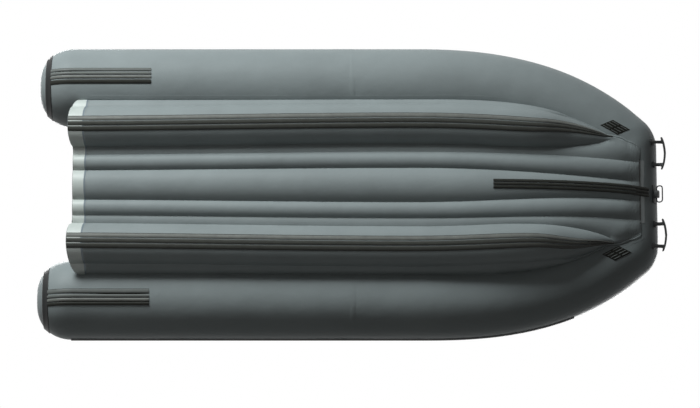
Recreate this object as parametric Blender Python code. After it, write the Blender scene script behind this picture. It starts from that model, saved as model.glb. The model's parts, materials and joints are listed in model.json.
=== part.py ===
"""An inflatable motor boat with a twin sponson bottom, in metres, deck up, bow along +X, port along +Y.

The boat rests on its two sponson strakes at height zero, and its origin is under the middle of its
overall length, handles included. Fabric skins are modelled at their true thickness.
"""

import math

import bmesh
import bpy
import numpy as np
from mathutils import Matrix, Vector

# Hull, driving sizes
hull_length = 3.60
beam = 1.72
tube_diameter = 0.46
bow_tube_diameter = 0.41
fabric = 0.0011
fit_gap = 0.0003
tube_lift = 0.120  # from the floor to the lowest line of the side tubes
bow_rise = 0.115  # how much higher the tube runs at the bow
rise_power = 1.5  # the rise begins where the plan's curve begins

# Plan of the tube: straight sides, a long tightening curve, a round corner, a straight front
bow_curve_length = 1.17
bow_curve_turn = math.radians(37)
bow_curve_power = 1.62
bow_curve_steps = 7
curve_substeps = 12  # steps of the walk along the curve between two stations
corner_pivot_gap = 0.001  # from the corner's pivot to the tube's inner wall
corner_reach = math.radians(11.5)  # either side of the mitre, where the corner is rounded off
front_half_share = 0.29516  # of the corner pivots, of the tubes' distance from the centre line
bow_radius_share = 0.84  # of the turn, by which the tube is down to its bow diameter
seam_from_bow = 1.78  # where the bow chamber ends and the side chambers begin

# Blunt tube ends
dome_length = 0.20
dome_shares = (0.03, 0.07, 0.12, 0.175, 0.35, 0.55, 0.80, 1.0)
dome_tip_share = dome_shares[0]
dome_bluntness = 2.6
cap_thickness = 0.004
cap_edge_inset = 0.004

# How the tube is divided round: contact of the bottom, contact of the deck, then the rest
bottom_contact = math.radians(30.5)
bottom_contact_bow = math.radians(-27)
contact_shares = ((0, 0), (0.4933, 0.41), (0.8467, 0.687), (1, 1))  # of the turn, of the way between
deck_contact = math.radians(50)
sides_between = 4
sides_round = 24

# Bottom: sponson lobes, ribs and a centre lobe. The lines run at shares of the floor's half width
# between the tubes, given at the stern, where the bow's curve begins and at the front
floor_half_width = beam / 2 - tube_diameter / 2 * (1 + math.sin(bottom_contact))
keel_line_shares = (0.6663, 0.7053, 0.6274)
rib_line_shares = (0.3448, 0.3799, 0.3351)
centre_line_shares = (0.1676, 0.1968, 0.1091)
sponson_width_share = 0.2299  # half of the sponson, of the floor's half width
sponson_least_half_width = 0.006
sponson_depth = 0.094
sponson_taper_length = 0.72
sponson_tip_power = 0.6
sponson_end_gap = 0.14  # from the sponson tip to the front edge of the bottom
rib_least_room = 0.030
side_lobe_bulge = 0.012
side_lobe_bulge_share = 0.30  # of the lobe's width, at most
side_lobe_least_width = 0.020  # narrower than this, the lobe's inner fold climbs toward the tube
side_fold_climb_share = 0.9
keel_fold_climb_share = 0.5
strip_bulge = 0.004
strip_bow_bulge = 0.017  # where the sponson has tapered away beside it
rib_bulge = 0.024
centre_bulge_share = 0.42  # of the lobe's half width
least_bulge = 0.0001
bulge_fade_length = 0.10
bottom_rise_length = 1.10
bottom_rise_power = 3.2
side_lobe_sides = 3
sponson_sides = 11
strip_sides = 2
rib_sides = 4
centre_sides = 11

# Stern edge of the floor
floor_overhang = 0.245  # from the tube ends to the floor's edge beside the sponsons
sponson_overrun = 0.064  # how much further aft the sponson keels reach
middle_overrun_share = 0.55  # of that, for the part between the sponsons
band_width = 0.045
band_thickness = 0.0009
band_seat = 0.0006

# Deck
deck_bulge = 0.010
deck_fade_length = 0.06
deck_lobe_sides = 2
deck_centre_sides = 3
deck_seam_shares = (0.78, 0.52, 0.25)  # the seams' widest places, of the deck's half width
web_thickness = 0.0009
web_seat = 0.0008
web_slack = 0.004  # where the folds begin to wander from the webs
web_from_bow = 0.95

# Strakes and patches, each a ridged rubber strip
strake_base = 0.0022
strake_ridge = 0.0034
ridge_foot_share = 0.18
ridge_top_share = 0.34
skid_strip_length = 0.585
skid_strip_start_share = 0.36  # of the blunt tube end
skid_strip_half_width = 0.048
skid_strip_angle = math.radians(-5.5)
keel_strip_length = 0.86
keel_strip_lap = 0.062
keel_lap_shares = (0.5, 1)
keel_strip_half_width = 0.028
ridge_line_shares = (-1, -1 / 3, 1 / 3, 1)  # the edges of a strip's three ridges
keel_strip_seat = 0.0008
bow_patch_length = 0.172
bow_patch_width = 0.086
bow_patch_from_keel = 0.051  # outboard of the sponson's tip
bow_patch_from_bow = 0.255
bow_patch_turn = math.radians(6)
bow_patch_steps = 4
bow_patch_seat = 0.002
rub_strake_height = 0.045
rub_strake_thickness = 0.006
rub_strake_angle = math.radians(-92)
rub_strake_bow_gap = 0.55
rub_strake_edge_share = 0.6

# Bow handles and tow ring
handle_length = 0.190
handle_reach = 0.047
handle_bow = 0.022  # how far the bar's ends stand back from its middle
handle_bar_width = 0.026
handle_bar_thickness = 0.009
handle_bar_shares = (-1, -0.95, -0.6, 0, 0.6, 0.95, 1)
handle_end_share = 0.6
handle_corner = 0.003
handle_leg_width = 0.016
handle_foot_length = 0.040
handle_foot_width = 0.032
handle_foot_thickness = 0.006
handle_leg_inset = 0.113  # of the inner leg, from the end of the straight front
handle_outer_share = 0.71
handle_outer_seat = 0.0042  # the tube's flats are slightly twisted there
handle_facet = 17
tow_facet = 17
tow_patch_width = 0.105
tow_patch_height = 0.050
tow_patch_thickness = 0.005
tow_block_width = 0.044
tow_block_height = 0.034
tow_block_depth = 0.022
tow_block_corner = 0.008
tow_bore_clearance = 0.0006
tow_ring_width = 0.104
tow_ring_depth = 0.040
tow_ring_wire = 0.008
tow_ring_corner = 0.014
tow_corner_steps = 3
tow_wire_sides = 8

# Transom
transom_from_stern = 0.42
transom_thickness = 0.030
transom_rise = 0.010  # above the tubes' tops
transom_notch_depth = 0.135
transom_notch_width = 0.46
transom_notch_slope = 0.10
transom_floor_gap = 0.004
transom_low_corner = 0.020
transom_top_corner = 0.014
holder_thickness = 0.004
holder_wall = 0.005
holder_depth = 0.028
holder_flange = 0.045
holder_low_angle = math.radians(58)
holder_high_angle = math.radians(150)
holder_sides = 6
plate_width = 0.30
plate_above_drain = 0.022  # between the plates' lower edge and the drain's flange
plate_drop = 0.012
plate_thickness = 0.003
drain_offset = -0.14
drain_height = 0.048  # above the board's lower edge
drain_lip = 0.006
drain_radius = 0.016
drain_flange_radius = 0.027
drain_flange_thickness = 0.004
drain_bore_radius = 0.0115
drain_plug_grip_radius = 0.018
drain_plug_grip_length = 0.014

# Seats on their rails
seat_depth = 0.24
seat_thickness = 0.020
seat_corner = 0.022
seat_front_from_rail = 0.3254  # from the rails' front ends
seat_rear_from_rail = 1.1454
seat_end_gap = 0.012
rail_facet = 5
rail_length = 1.46
rail_front_gap = 0.004
rail_ledge = 0.052
rail_thickness = 0.008
rail_edge_share = 0.06

# Rowlocks
rowlock_from_bow = 2.08
rowlock_facet = 8
rowlock_base_length = 0.115
rowlock_base_width = 0.062
rowlock_base_thickness = 0.010
rowlock_socket_radius = 0.019
rowlock_socket_height = 0.030
rowlock_pin_radius = 0.0075
rowlock_pin_clearance = 0.0006
rowlock_floor = 0.004
rowlock_corner = 0.016
rowlock_neck = 0.012
rowlock_neck_radius = 0.009
rowlock_fork_radius = 0.030
rowlock_fork_height = 0.050
rowlock_fork_width = 0.018
rowlock_fork_wall = 0.008
rowlock_fork_steps = 10

# Air valves
valve_hole_radius = 0.0245
valve_barrel_radius = 0.0240
valve_barrel_length = 0.022
valve_flange_seat = 0.0006
valve_stem_clearance = 0.001
valve_flange_radius = 0.0290
valve_flange_thickness = 0.0040
valve_bore_radius = 0.0110
valve_seat_radius = 0.0060
valve_seat_thickness = 0.0020
valve_stem_radius = 0.0030
valve_head_radius = 0.0085
valve_head_thickness = 0.0025
valve_cap_radius = 0.0230
valve_cap_height = 0.0085
valve_cap_wall = 0.0020
valve_cap_plug_radius = 0.0100
valve_cap_plug_length = 0.0050
valve_tube_from_stern = 1.05
valve_tube_facet = 3
valve_bow_share = 0.462  # of the straight front, from its port end
valve_bow_facet = 4
valve_deck_from_bow = 0.62
round_sides = 16
smooth_angle = math.radians(40)

# Worked out from the sizes above
tube_radius = tube_diameter / 2
bow_tube_radius = bow_tube_diameter / 2
front_x = (hull_length - handle_reach) / 2
stern_x = front_x - hull_length
side_offset = beam / 2 - tube_radius
tube_height = tube_lift + tube_radius
strake_height = strake_base + strake_ridge
band_top = band_seat + band_thickness
sponson_half_width = sponson_width_share * floor_half_width
sponson_radius = (sponson_half_width ** 2 + sponson_depth ** 2) / (2 * sponson_depth)
sponson_facet_turn = 4 * math.atan(sponson_depth / sponson_half_width) / sponson_sides
sponson_flat = sponson_radius * math.cos(sponson_facet_turn / 2)
crease_height = sponson_flat - (sponson_radius - sponson_depth) + fit_gap + strake_height
seam_x = front_x - seam_from_bow
transom_x = stern_x + transom_from_stern
transom_height = tube_lift + tube_diameter + transom_rise
transom_notch_height = transom_height - transom_notch_depth

COLOURS = {
    "hull": ((0.17, 0.185, 0.185, 1), 0.42, 0),
    "strake": ((0.035, 0.036, 0.034, 1), 0.5, 0),
    "band": ((0.66, 0.70, 0.69, 1), 0.45, 0),
    "deck": ((0.26, 0.275, 0.275, 1), 0.55, 0),
    "web": ((0.40, 0.41, 0.41, 1), 0.6, 0),
    "rubber": ((0.03, 0.03, 0.03, 1), 0.55, 0),
    "plastic": ((0.02, 0.02, 0.022, 1), 0.4, 0),
    "steel": ((0.62, 0.62, 0.62, 1), 0.25, 1),
    "wood": ((0.42, 0.27, 0.14, 1), 0.5, 0),
}


def clear_scene():
    for thing in list(bpy.data.objects):
        bpy.data.objects.remove(thing, do_unlink=True)


def material(kind):
    name = "boat_" + kind
    if name in bpy.data.materials:
        return bpy.data.materials[name]
    colour, roughness, metallic = COLOURS[kind]
    made = bpy.data.materials.new(name)
    made.use_nodes = True
    shader = made.node_tree.nodes["Principled BSDF"]
    shader.inputs["Base Color"].default_value = colour
    shader.inputs["Roughness"].default_value = roughness
    shader.inputs["Metallic"].default_value = metallic
    made.diffuse_color = colour
    return made


def add(name, verts, faces, kind, place=None, smooth=True):
    """A closed object from points and faces, its faces turned outward, set in place by a matrix."""
    mesh = bpy.data.meshes.new(name)
    mesh.from_pydata([tuple(map(float, v)) for v in verts], [], faces)
    shape = bmesh.new()
    shape.from_mesh(mesh)
    bmesh.ops.recalc_face_normals(shape, faces=shape.faces)
    shape.to_mesh(mesh)
    shape.free()
    if smooth:
        mesh.shade_smooth()
        mesh.set_sharp_from_angle(angle=smooth_angle)
    mesh.materials.append(material(kind))
    thing = bpy.data.objects.new(name, mesh)
    bpy.context.scene.collection.objects.link(thing)
    if place is not None:
        thing.matrix_world = place
    return thing


def grid_faces(rows, columns, closed, start=0, flip=False):
    """The triangles of a grid of points, whose columns may close on themselves. Every cell is split
    along the same diagonal, so that the two faces of a thin sheet run side by side."""
    faces = []
    for i in range(rows - 1):
        for j in range(columns if closed else columns - 1):
            k = (j + 1) % columns
            near, beside = start + i * columns + j, start + i * columns + k
            far, across = start + (i + 1) * columns + j, start + (i + 1) * columns + k
            for triangle in ((near, beside, across), (near, across, far)):
                faces.append(triangle[::-1] if flip else triangle)
    return faces


def skin_solid(name, outer, inner, kind, closed=False, caps=(False, False)):
    """A sheet between two grids of points. With closed columns it is a pipe, whose ends are open
    rims, or are closed by a flat cap on each grid."""
    rows, columns = outer.shape[:2]
    verts = list(outer.reshape(-1, 3)) + list(inner.reshape(-1, 3))
    second = rows * columns
    faces = grid_faces(rows, columns, closed)
    faces += grid_faces(rows, columns, closed, second, True)
    for row, capped in ((0, caps[0]), (rows - 1, caps[1])):
        line = [row * columns + j for j in range(columns)]
        if capped:
            faces.append(tuple(line))
            faces.append(tuple(second + v for v in reversed(line)))
            continue
        for j in range(columns if closed else columns - 1):
            a, b = line[j], line[(j + 1) % columns]
            faces.append((a, b, second + b, second + a))
    if not closed:
        for column in (0, columns - 1):
            for i in range(rows - 1):
                a, b = i * columns + column, (i + 1) * columns + column
                faces.append((a, b, second + b, second + a))
    return add(name, verts, faces, kind)


def grid_normals(grid):
    """Unit normals of a grid, from the slopes along its rows and columns, lengthened at folds so
    that an offset keeps the sheet's thickness."""
    along = np.gradient(grid, axis=0)
    cols = grid.shape[1]
    normals = np.zeros_like(grid)
    for j in range(cols):
        sides = []
        for a, b in ((j - 1, j), (j, j + 1)):
            if a < 0 or b >= cols:
                continue
            step = grid[:, b] - grid[:, a]
            side = np.cross(along[:, j], step)
            sides.append(side / np.linalg.norm(side, axis=1)[:, None])
        mean = sum(sides) / len(sides)
        size = np.linalg.norm(mean, axis=1)[:, None]
        normals[:, j] = mean / np.maximum(size, 0.5) ** 2
    return normals


def revolve(name, profile, kind, place=None, sides=round_sides, smooth=True):
    """A turned solid from a closed profile of (radius, height) points about local Z. A point on
    the axis becomes one vertex."""
    verts, rings = [], []
    for radius, height in profile:
        if radius == 0:
            rings.append([len(verts)])
            verts.append((0, 0, height))
            continue
        rings.append(list(range(len(verts), len(verts) + sides)))
        for i in range(sides):
            turn = math.tau * i / sides
            verts.append((radius * math.cos(turn), radius * math.sin(turn), height))
    faces = []
    for a, b in zip(rings, rings[1:] + rings[:1]):
        if len(a) == 1 and len(b) == 1:
            continue
        for i in range(sides):
            j = (i + 1) % sides
            if len(a) == 1:
                faces.append((a[0], b[j], b[i]))
            elif len(b) == 1:
                faces.append((a[i], a[j], b[0]))
            else:
                faces.append((a[i], a[j], b[j], b[i]))
    return add(name, verts, faces, kind, place, smooth)


def prism(name, outline, low, high, kind, place=None, smooth=False):
    """A flat outline of (x, y) points between two heights on local Z."""
    count = len(outline)
    verts = [(x, y, low) for x, y in outline] + [(x, y, high) for x, y in outline]
    faces = [tuple(range(count)), tuple(range(count, 2 * count))]
    faces += [(i, (i + 1) % count, count + (i + 1) % count, count + i) for i in range(count)]
    return add(name, verts, faces, kind, place, smooth)


def sweep(name, sections, kind, place=None, smooth=True, loop=False):
    """A solid through a row of alike closed sections, capped at both ends, or run round a loop."""
    rows, columns = len(sections), len(sections[0])
    verts = [point for section in sections for point in section]
    faces = grid_faces(rows, columns, True)
    last = (rows - 1) * columns
    if loop:
        for j in range(columns):
            k = (j + 1) % columns
            faces.append((last + j, last + k, k, j))
    else:
        faces.append(tuple(range(columns)))
        faces.append(tuple(range(last, last + columns)))
    return add(name, verts, faces, kind, place, smooth)


def box(name, size, centre, kind, place=None):
    half = [s / 2 for s in size]
    outline = [(centre[0] + x * half[0], centre[1] + y * half[1])
               for x, y in ((-1, -1), (1, -1), (1, 1), (-1, 1))]
    return prism(name, outline, centre[2] - half[2], centre[2] + half[2], kind, place)


def rounded_rectangle(width, height, corner, steps=3):
    points = []
    for turn, sx, sy in ((0, 1, 1), (1, -1, 1), (2, -1, -1), (3, 1, -1)):
        for i in range(steps + 1):
            angle = math.pi / 2 * (turn + i / steps)
            x = sx * (width / 2 - corner) + corner * math.cos(angle)
            y = sy * (height / 2 - corner) + corner * math.sin(angle)
            points.append((x, y))
    return points


def join(base, other):
    """Unites another object into the base and removes it."""
    union = base.modifiers.new("join", "BOOLEAN")
    union.operation = "UNION"
    union.solver = "EXACT"
    union.object = other
    apply_and_drop(base, other)


def cut(base, other):
    """Cuts another object out of the base and removes it."""
    hole = base.modifiers.new("cut", "BOOLEAN")
    hole.operation = "DIFFERENCE"
    hole.solver = "EXACT"
    hole.object = other
    apply_and_drop(base, other)


def apply_and_drop(base, other):
    bpy.context.view_layer.update()
    ready = base.evaluated_get(bpy.context.evaluated_depsgraph_get())
    mesh = bpy.data.meshes.new_from_object(ready)
    base.modifiers.clear()
    base.data = mesh
    bpy.data.objects.remove(other, do_unlink=True)


def frame_matrix(origin, x_axis, z_axis):
    """A place whose local Z is z_axis and whose local X is as near as can be to x_axis."""
    z = Vector(z_axis).normalized()
    y = z.cross(Vector(x_axis)).normalized()
    x = y.cross(z)
    turned = Matrix((x, y, z)).transposed().to_4x4()
    return Matrix.Translation(Vector(origin)) @ turned


# The tube's course

def rise_at(x):
    share = min(max((x - CURVE_START) / (front_x - bow_tube_radius - CURVE_START), 0), 1)
    return bow_rise * share ** rise_power


def plan_curve(steps):
    """Offsets and headings of the tightening curve, from its start, by walking along it."""
    places = [(0.0, 0.0, 0.0)]
    count = steps * curve_substeps
    x = y = 0.0
    for i in range(steps):
        for j in range(curve_substeps):
            walked = (i * curve_substeps + j + 0.5) / count
            heading = bow_curve_turn * walked ** bow_curve_power
            x += math.cos(heading) * bow_curve_length / count
            y += math.sin(heading) * bow_curve_length / count
        places.append((x, y, bow_curve_turn * ((i + 1) / steps) ** bow_curve_power))
    return places


def corner_width(turned, half):
    """How far the tube reaches from a corner's pivot, at an angle from the mitre's middle. It is a
    straight mitre rounded off by an arc that meets both outlines."""
    straight = corner_pivot_gap + bow_tube_diameter
    edge = half - corner_reach
    if abs(turned) >= corner_reach:
        return straight / math.cos(half - abs(turned))
    round_radius = straight * (1 - math.tan(edge) / math.tan(half))
    middle = (straight - round_radius) / math.cos(half)
    across = middle * math.sin(turned)
    return middle * math.cos(turned) + math.sqrt(round_radius ** 2 - across ** 2)


def plan_stations():
    """Places, headings and stretches of the tube from the curve's start to the middle of the bow.
    Round the corner its sections fan out from a pivot beside the inner wall."""
    curve = plan_curve(bow_curve_steps)
    x, y, heading = curve[-1]
    inner = corner_pivot_gap + bow_tube_radius
    half = (math.pi / 2 - heading) / 2
    pivot_x, pivot_y = x - inner * math.sin(heading), y + inner * math.cos(heading)
    start = front_x - bow_tube_radius - inner - pivot_x
    spread = side_offset * (1 - front_half_share) / pivot_y
    stations = [(start + cx, side_offset - cy * spread, turn, 0.0) for cx, cy, turn in curve]
    for turned in (-corner_reach, 0, corner_reach):
        turn = heading + half + turned
        stretch = (corner_width(turned, half) - inner - bow_tube_radius) / 2
        out = inner + stretch
        stations.append((start + pivot_x + out * math.sin(turn),
                         side_offset * front_half_share + out * math.cos(turn), turn, stretch))
    stations.append((start + pivot_x + inner, 0.0, math.pi / 2, 0.0))
    return stations


class Ring:
    """One station of the tube: where its centre is, which way inboard is, its radius, and how much
    longer its half width is than its radius."""

    def __init__(self, x, y, heading, side=1, stretch=0.0):
        share = min(heading / FRONT_HEADING, 1)
        narrowed = min(share / bow_radius_share, 1)
        self.radius = tube_radius + (bow_tube_radius - tube_radius) * narrowed
        self.widening = 1 + stretch / self.radius
        self.centre = np.array((x, side * y, tube_height + rise_at(x)))
        self.inboard = np.array((-math.sin(heading), -side * math.cos(heading), 0))
        way = float(np.interp(share, *zip(*contact_shares)))
        self.low = bottom_contact + (bottom_contact_bow - bottom_contact) * way
        self.lap = share

    def direction(self, angle):
        across = self.widening * math.sin(angle) * self.inboard
        return across - math.cos(angle) * np.array((0, 0, 1))

    def point(self, angle, out=0.0):
        return self.centre + (self.radius + out) * self.direction(angle)

    def bottom_edge(self):
        """Where the bottom's water side meets the tube: end on along the sides, lapped at the bow."""
        return self.point(self.low, fit_gap + fabric * self.lap)

    def bottom_edge_inside(self):
        return self.point(self.low + fabric * (1 - self.lap) / self.radius, fit_gap)

    def deck_edge_below(self):
        return self.point(deck_contact - fabric / self.radius, fit_gap)

    def angles(self):
        between = [self.low + (deck_contact - self.low) * i / sides_between
                   for i in range(sides_between)]
        rest = sides_round - sides_between
        round_way = math.tau + self.low - deck_contact
        return between + [deck_contact + round_way * i / rest for i in range(rest)]

    def points(self, out=0.0):
        return np.array([self.point(angle, out) for angle in self.angles()])


def flat_place(near, far, outward, share):
    """A frame on a flat between two edges, each a pair of points: Z out, X toward the far edge."""
    near_middle, far_middle = (near[0] + near[1]) / 2, (far[0] + far[1]) / 2
    along = far_middle - near_middle
    out = np.cross(near[1] - near[0] + far[1] - far[0], along)
    out = out if np.dot(out, outward) > 0 else -out
    return frame_matrix(near_middle + along * share, along, out)


def facet_place(near, far, facet, share=0.5):
    """A frame on a flat of the tube between two stations, flats counted round from the deck."""
    edges = []
    for ring in (near, far):
        first, second = ring.angles()[sides_between + facet:sides_between + facet + 2]
        edges.append((ring.point(first), ring.point(second)))
    return flat_place(edges[0], edges[1], near.direction((first + second) / 2), share)


PORT_STATIONS = plan_stations()
CURVE_START = PORT_STATIONS[0][0]
FRONT_HEADING = PORT_STATIONS[-2][2]
SIDE_STATIONS = [transom_x, (transom_x + seam_x) / 2, seam_x]


def side_ring(x, side):
    return Ring(x, side_offset, 0.0, side)


def bow_rings(side=1):
    return [Ring(x, y, turn, side, stretch) for x, y, turn, stretch in PORT_STATIONS]


def dome_ring(x, share, inset):
    """A ring of a tube's blunt end, whose share runs from its tip to the full tube."""
    size = (1 - (1 - share) ** 2) ** (1 / dome_bluntness)
    ring = Ring(x, side_offset, 0.0)
    ring.radius = size * (tube_radius - inset)
    return ring


def mirrored(points, side):
    out = np.array(points, dtype=float)
    out[..., 1] *= side
    return out


def dome_x(share, inset=0.0):
    length = dome_length - inset
    tip = stern_x + inset
    return tip + (share - dome_tip_share) * length


def make_side_tube(name, side):
    outer, inner = [], []
    for share in dome_shares:
        outer.append(dome_ring(dome_x(share), share, 0.0).points())
        inner.append(dome_ring(dome_x(share, fabric), share, fabric).points())
    for x in SIDE_STATIONS[:-1] + [seam_x - fit_gap / 2]:
        ring = side_ring(x, 1)
        outer.append(ring.points())
        inner.append(ring.points(-fabric))
    tube = skin_solid(name, mirrored(outer, side), mirrored(inner, side), "hull", True, (True, False))
    return tube


def bow_chain():
    """The rings of the bow chamber, from the port seam round the bow to the starboard one."""
    port = [side_ring(seam_x + fit_gap / 2, 1)] + bow_rings(1)
    starboard = [side_ring(seam_x + fit_gap / 2, -1)] + bow_rings(-1)
    return port + list(reversed(starboard[:-1]))


def make_tubes():
    port = make_side_tube("tube_port", 1)
    starboard = make_side_tube("tube_starboard", -1)
    chain = bow_chain()
    outer = np.array([ring.points() for ring in chain])
    inner = np.array([ring.points(-fabric) for ring in chain])
    bow = skin_solid("tube_bow", outer, inner, "hull", True)
    return port, starboard, bow


def make_baffle(name, side):
    """The diaphragm between two chambers, a thin disc held inside the tube at its seam."""
    front = side_ring(seam_x + fabric, side).points(-fabric - fit_gap)
    back = side_ring(seam_x, side).points(-fabric - fit_gap)
    back[:, 2] = front[:, 2]
    sweep(name, [list(back), list(front)], "web", smooth=False)


# The bottom and the deck

def blend(x, stops):
    """A value that runs smoothly through (x, value) stops."""
    if x <= stops[0][0]:
        return stops[0][1]
    for (x0, v0), (x1, v1) in zip(stops, stops[1:]):
        if x <= x1:
            t = (x - x0) / (x1 - x0)
            return v0 + (v1 - v0) * t * t * (3 - 2 * t)
    return stops[-1][1]


def front_ring():
    """The ring in the middle of the straight front."""
    return bow_rings()[-1]


FRONT_EDGE = front_ring().bottom_edge()
TIP_X = FRONT_EDGE[0] - sponson_end_gap


def floor_line(x, front, shares):
    """How far a line of the floor runs from the centre line, by its shares at three places."""
    places = (stern_x, CURVE_START, front)
    return blend(x, [(place, share * floor_half_width) for place, share in zip(places, shares)])


def keel_offset(x):
    return floor_line(x, TIP_X, keel_line_shares)


def rib_offset(x):
    return floor_line(x, FRONT_EDGE[0], rib_line_shares)


def rib_line(x, contact):
    """The outer rib seam, kept clear of the bow tube's corner."""
    return min(rib_offset(x), contact[1] - rib_least_room)


def centre_offset(x):
    return floor_line(x, FRONT_EDGE[0], centre_line_shares)


def sponson_share(x):
    """How full the sponson is: one along the hull, falling to nothing at its tip."""
    start = TIP_X - sponson_taper_length
    share = min(max((x - start) / sponson_taper_length, 0), 1)
    return (1 - share ** 2) ** sponson_tip_power


def sponson_width(x):
    return max(sponson_half_width * sponson_share(x), sponson_least_half_width)


def base_height(x):
    """The height of the folds between the bottom's lobes."""
    start = FRONT_EDGE[0] - bottom_rise_length
    share = min(max((x - start) / bottom_rise_length, 0), 1)
    return crease_height + (FRONT_EDGE[2] - crease_height) * share ** bottom_rise_power


def fade(x):
    """Lobes flatten where the bottom meets the bow tube."""
    left = min(max((FRONT_EDGE[0] - x) / bulge_fade_length, 0), 1)
    return math.sqrt(left)


def arc(a, b, sag, count):
    """Points of a round arc from a to b in the YZ plane, hanging below their chord by sag."""
    a, b = np.array(a), np.array(b)
    chord = b - a
    length = np.linalg.norm(chord)
    shares = [i / count for i in range(count + 1)]
    if abs(sag) < least_bulge:
        return [a + chord * s for s in shares]
    down = np.array((chord[1], -chord[0])) / length
    if down[1] > 0:
        down = -down
    if sag < 0:
        down, sag = -down, -sag
    radius = (length ** 2 / 4 + sag ** 2) / (2 * sag)
    half = math.asin(min(length / 2 / radius, 1))
    if sag > radius:
        half = math.pi - half
    middle = (a + b) / 2 + down * (sag - radius)
    across = chord / length
    turns = [half * (2 * s - 1) for s in shares]
    return [middle + radius * (math.sin(t) * across + math.cos(t) * down) for t in turns]


def chain_arcs(spans):
    points = []
    for a, b, sag, count in spans:
        points += arc(a, b, sag, count)[0 if not points else 1:]
    return points


def side_lines(x, contact):
    """The folds of the bottom's side part, from the tube inward, as (half width, height)."""
    base = base_height(x)
    width = sponson_width(x)
    inner = keel_offset(x) - width
    outer = keel_offset(x) + width
    room = contact[1] - side_lobe_bulge
    near = min(max((room - outer) / side_lobe_least_width, 0), 1)
    outer = min(outer, room)
    inner = min(inner, outer - 2 * sponson_least_half_width)
    outer_height = base + (contact[2] - base) * (1 - near) * side_fold_climb_share
    inner_share = (1 - sponson_share(x)) * keel_fold_climb_share
    inner_height = base + (outer_height - base) * inner_share
    return (outer, outer_height), (inner, inner_height)


def side_section(x, contact, middle_gap):
    """The bottom between the tube and the outer rib seam, as (half width, height) points."""
    outer, inner = side_lines(x, contact)
    room = (outer[0] - inner[0]) / 2 / sponson_half_width
    depth = sponson_depth * min(sponson_share(x), room) * fade(x)
    seam = (rib_line(x, contact) + middle_gap, base_height(x))
    width = math.dist((contact[1], contact[2]), outer)
    bulge = min(side_lobe_bulge, side_lobe_bulge_share * width)
    strip = strip_bow_bulge + (strip_bulge - strip_bow_bulge) * sponson_share(x)
    spans = [((contact[1], contact[2]), outer, bulge * fade(x), side_lobe_sides),
             (outer, inner, depth, sponson_sides),
             (inner, seam, strip * fade(x), strip_sides)]
    return chain_arcs(spans)


def centre_section(x, contact, middle_gap):
    """The bottom between the two outer rib seams, port to starboard."""
    rib, centre = rib_line(x, contact) - middle_gap, centre_offset(x)
    base = base_height(x)
    spans = [((rib, base), (centre, base), rib_bulge * fade(x), rib_sides),
             ((centre, base), (-centre, base), centre_bulge_share * centre * fade(x), centre_sides),
             ((-centre, base), (-rib, base), rib_bulge * fade(x), rib_sides)]
    return chain_arcs(spans)


def stern_edge_x(y, edge):
    """The floor's stern edge, furthest aft at the keel lines and forward beside the tubes."""
    keel = keel_offset(stern_x)
    offset = abs(y) - keel
    span = edge - keel if offset > 0 else sponson_half_width
    least = 0 if offset > 0 else middle_overrun_share
    share = min(abs(offset) / span, 1)
    reach = least + (1 - least) * math.sqrt(1 - share ** 2)
    return stern_x + floor_overhang - sponson_overrun * reach


def bottom_rings():
    """Tube stations that carry the bottom, with the first one at the floor's stern edge."""
    first = stern_x + floor_overhang
    band = first + band_width
    rings = [side_ring(x, 1) for x in [first, band] + SIDE_STATIONS]
    return rings + bow_rings()[:-1]


def bottom_grid(make_section):
    rows = []
    for ring in bottom_rings():
        contact = ring.bottom_edge()
        rows.append([(contact[0], y, z) for y, z in make_section(contact[0], contact)])
    edge = bottom_rings()[0].bottom_edge()[1]
    rows[0] = [(stern_edge_x(y, edge), y, z) for _, y, z in rows[0]]
    return np.array(rows)


def thicken(outer, amount, up):
    """The other face of a sheet, offset along its normals, toward +Z if up is set."""
    normals = grid_normals(outer)
    if (normals[..., 2].sum() > 0) != up:
        normals = -normals
    return outer + normals * amount


def seat_edge(sheet, column, points, side=1):
    """Moves a sheet's edge points onto the tube, so that its edge seats there."""
    for i, point in enumerate(points):
        sheet[i, column] = (sheet[i, column][0], side * point[1], point[2])


def lap_on_bow(edge):
    """The tube side of the bottom's front edge, one fabric nearer to the bow tube."""
    ring = front_ring()
    return edge - fabric * ring.direction(ring.low)


def make_bottom():
    half_gap = fit_gap / 2
    rings = bottom_rings()
    outer = bottom_grid(lambda x, contact: side_section(x, contact, half_gap))
    inner = thicken(outer, fabric, True)
    seat_edge(inner, 0, [ring.bottom_edge_inside() for ring in rings])
    inner[:, :, 0] = outer[:, :, 0]
    inner[:, -1, 1] = outer[:, -1, 1]
    inner[-1] = lap_on_bow(outer[-1])
    for name, side in (("bottom_panel_port", 1), ("bottom_panel_starboard", -1)):
        skin_solid(name, mirrored(outer, side), mirrored(inner, side), "hull")
    middle = bottom_grid(lambda x, contact: centre_section(x, contact, half_gap))
    above = thicken(middle, fabric, True)
    above[:, :, 0] = middle[:, :, 0]
    above[:, 0, 1], above[:, -1, 1] = middle[:, 0, 1], middle[:, -1, 1]
    above[-1] = lap_on_bow(middle[-1])
    skin_solid("bottom_panel_centre", middle, above, "hull")
    return outer, middle


def deck_rings():
    rings = [side_ring(x, 1) for x in [stern_x + floor_overhang] + SIDE_STATIONS]
    return rings + bow_rings()[:-1]


def deck_lines(x, contact):
    """Half widths of the deck's seams, outermost first, kept in order toward the bow."""
    lines = [keel_offset(x) - sponson_width(x), rib_offset(x), centre_offset(x)]
    return [min(line, contact[1] * share) for line, share in zip(lines, deck_seam_shares)]


def deck_section(contact, front):
    lines = deck_lines(contact[0], contact)
    stops = [contact[1]] + lines
    stops += [-v for v in reversed(stops)]
    bulge = deck_bulge * min((front - contact[0]) / deck_fade_length, 1)
    spans = []
    for a, b in zip(stops, stops[1:]):
        sides = deck_centre_sides if a == -b else deck_lobe_sides
        spans.append(((a, contact[2]), (b, contact[2]), -bulge, sides))
    return chain_arcs(spans)


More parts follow.
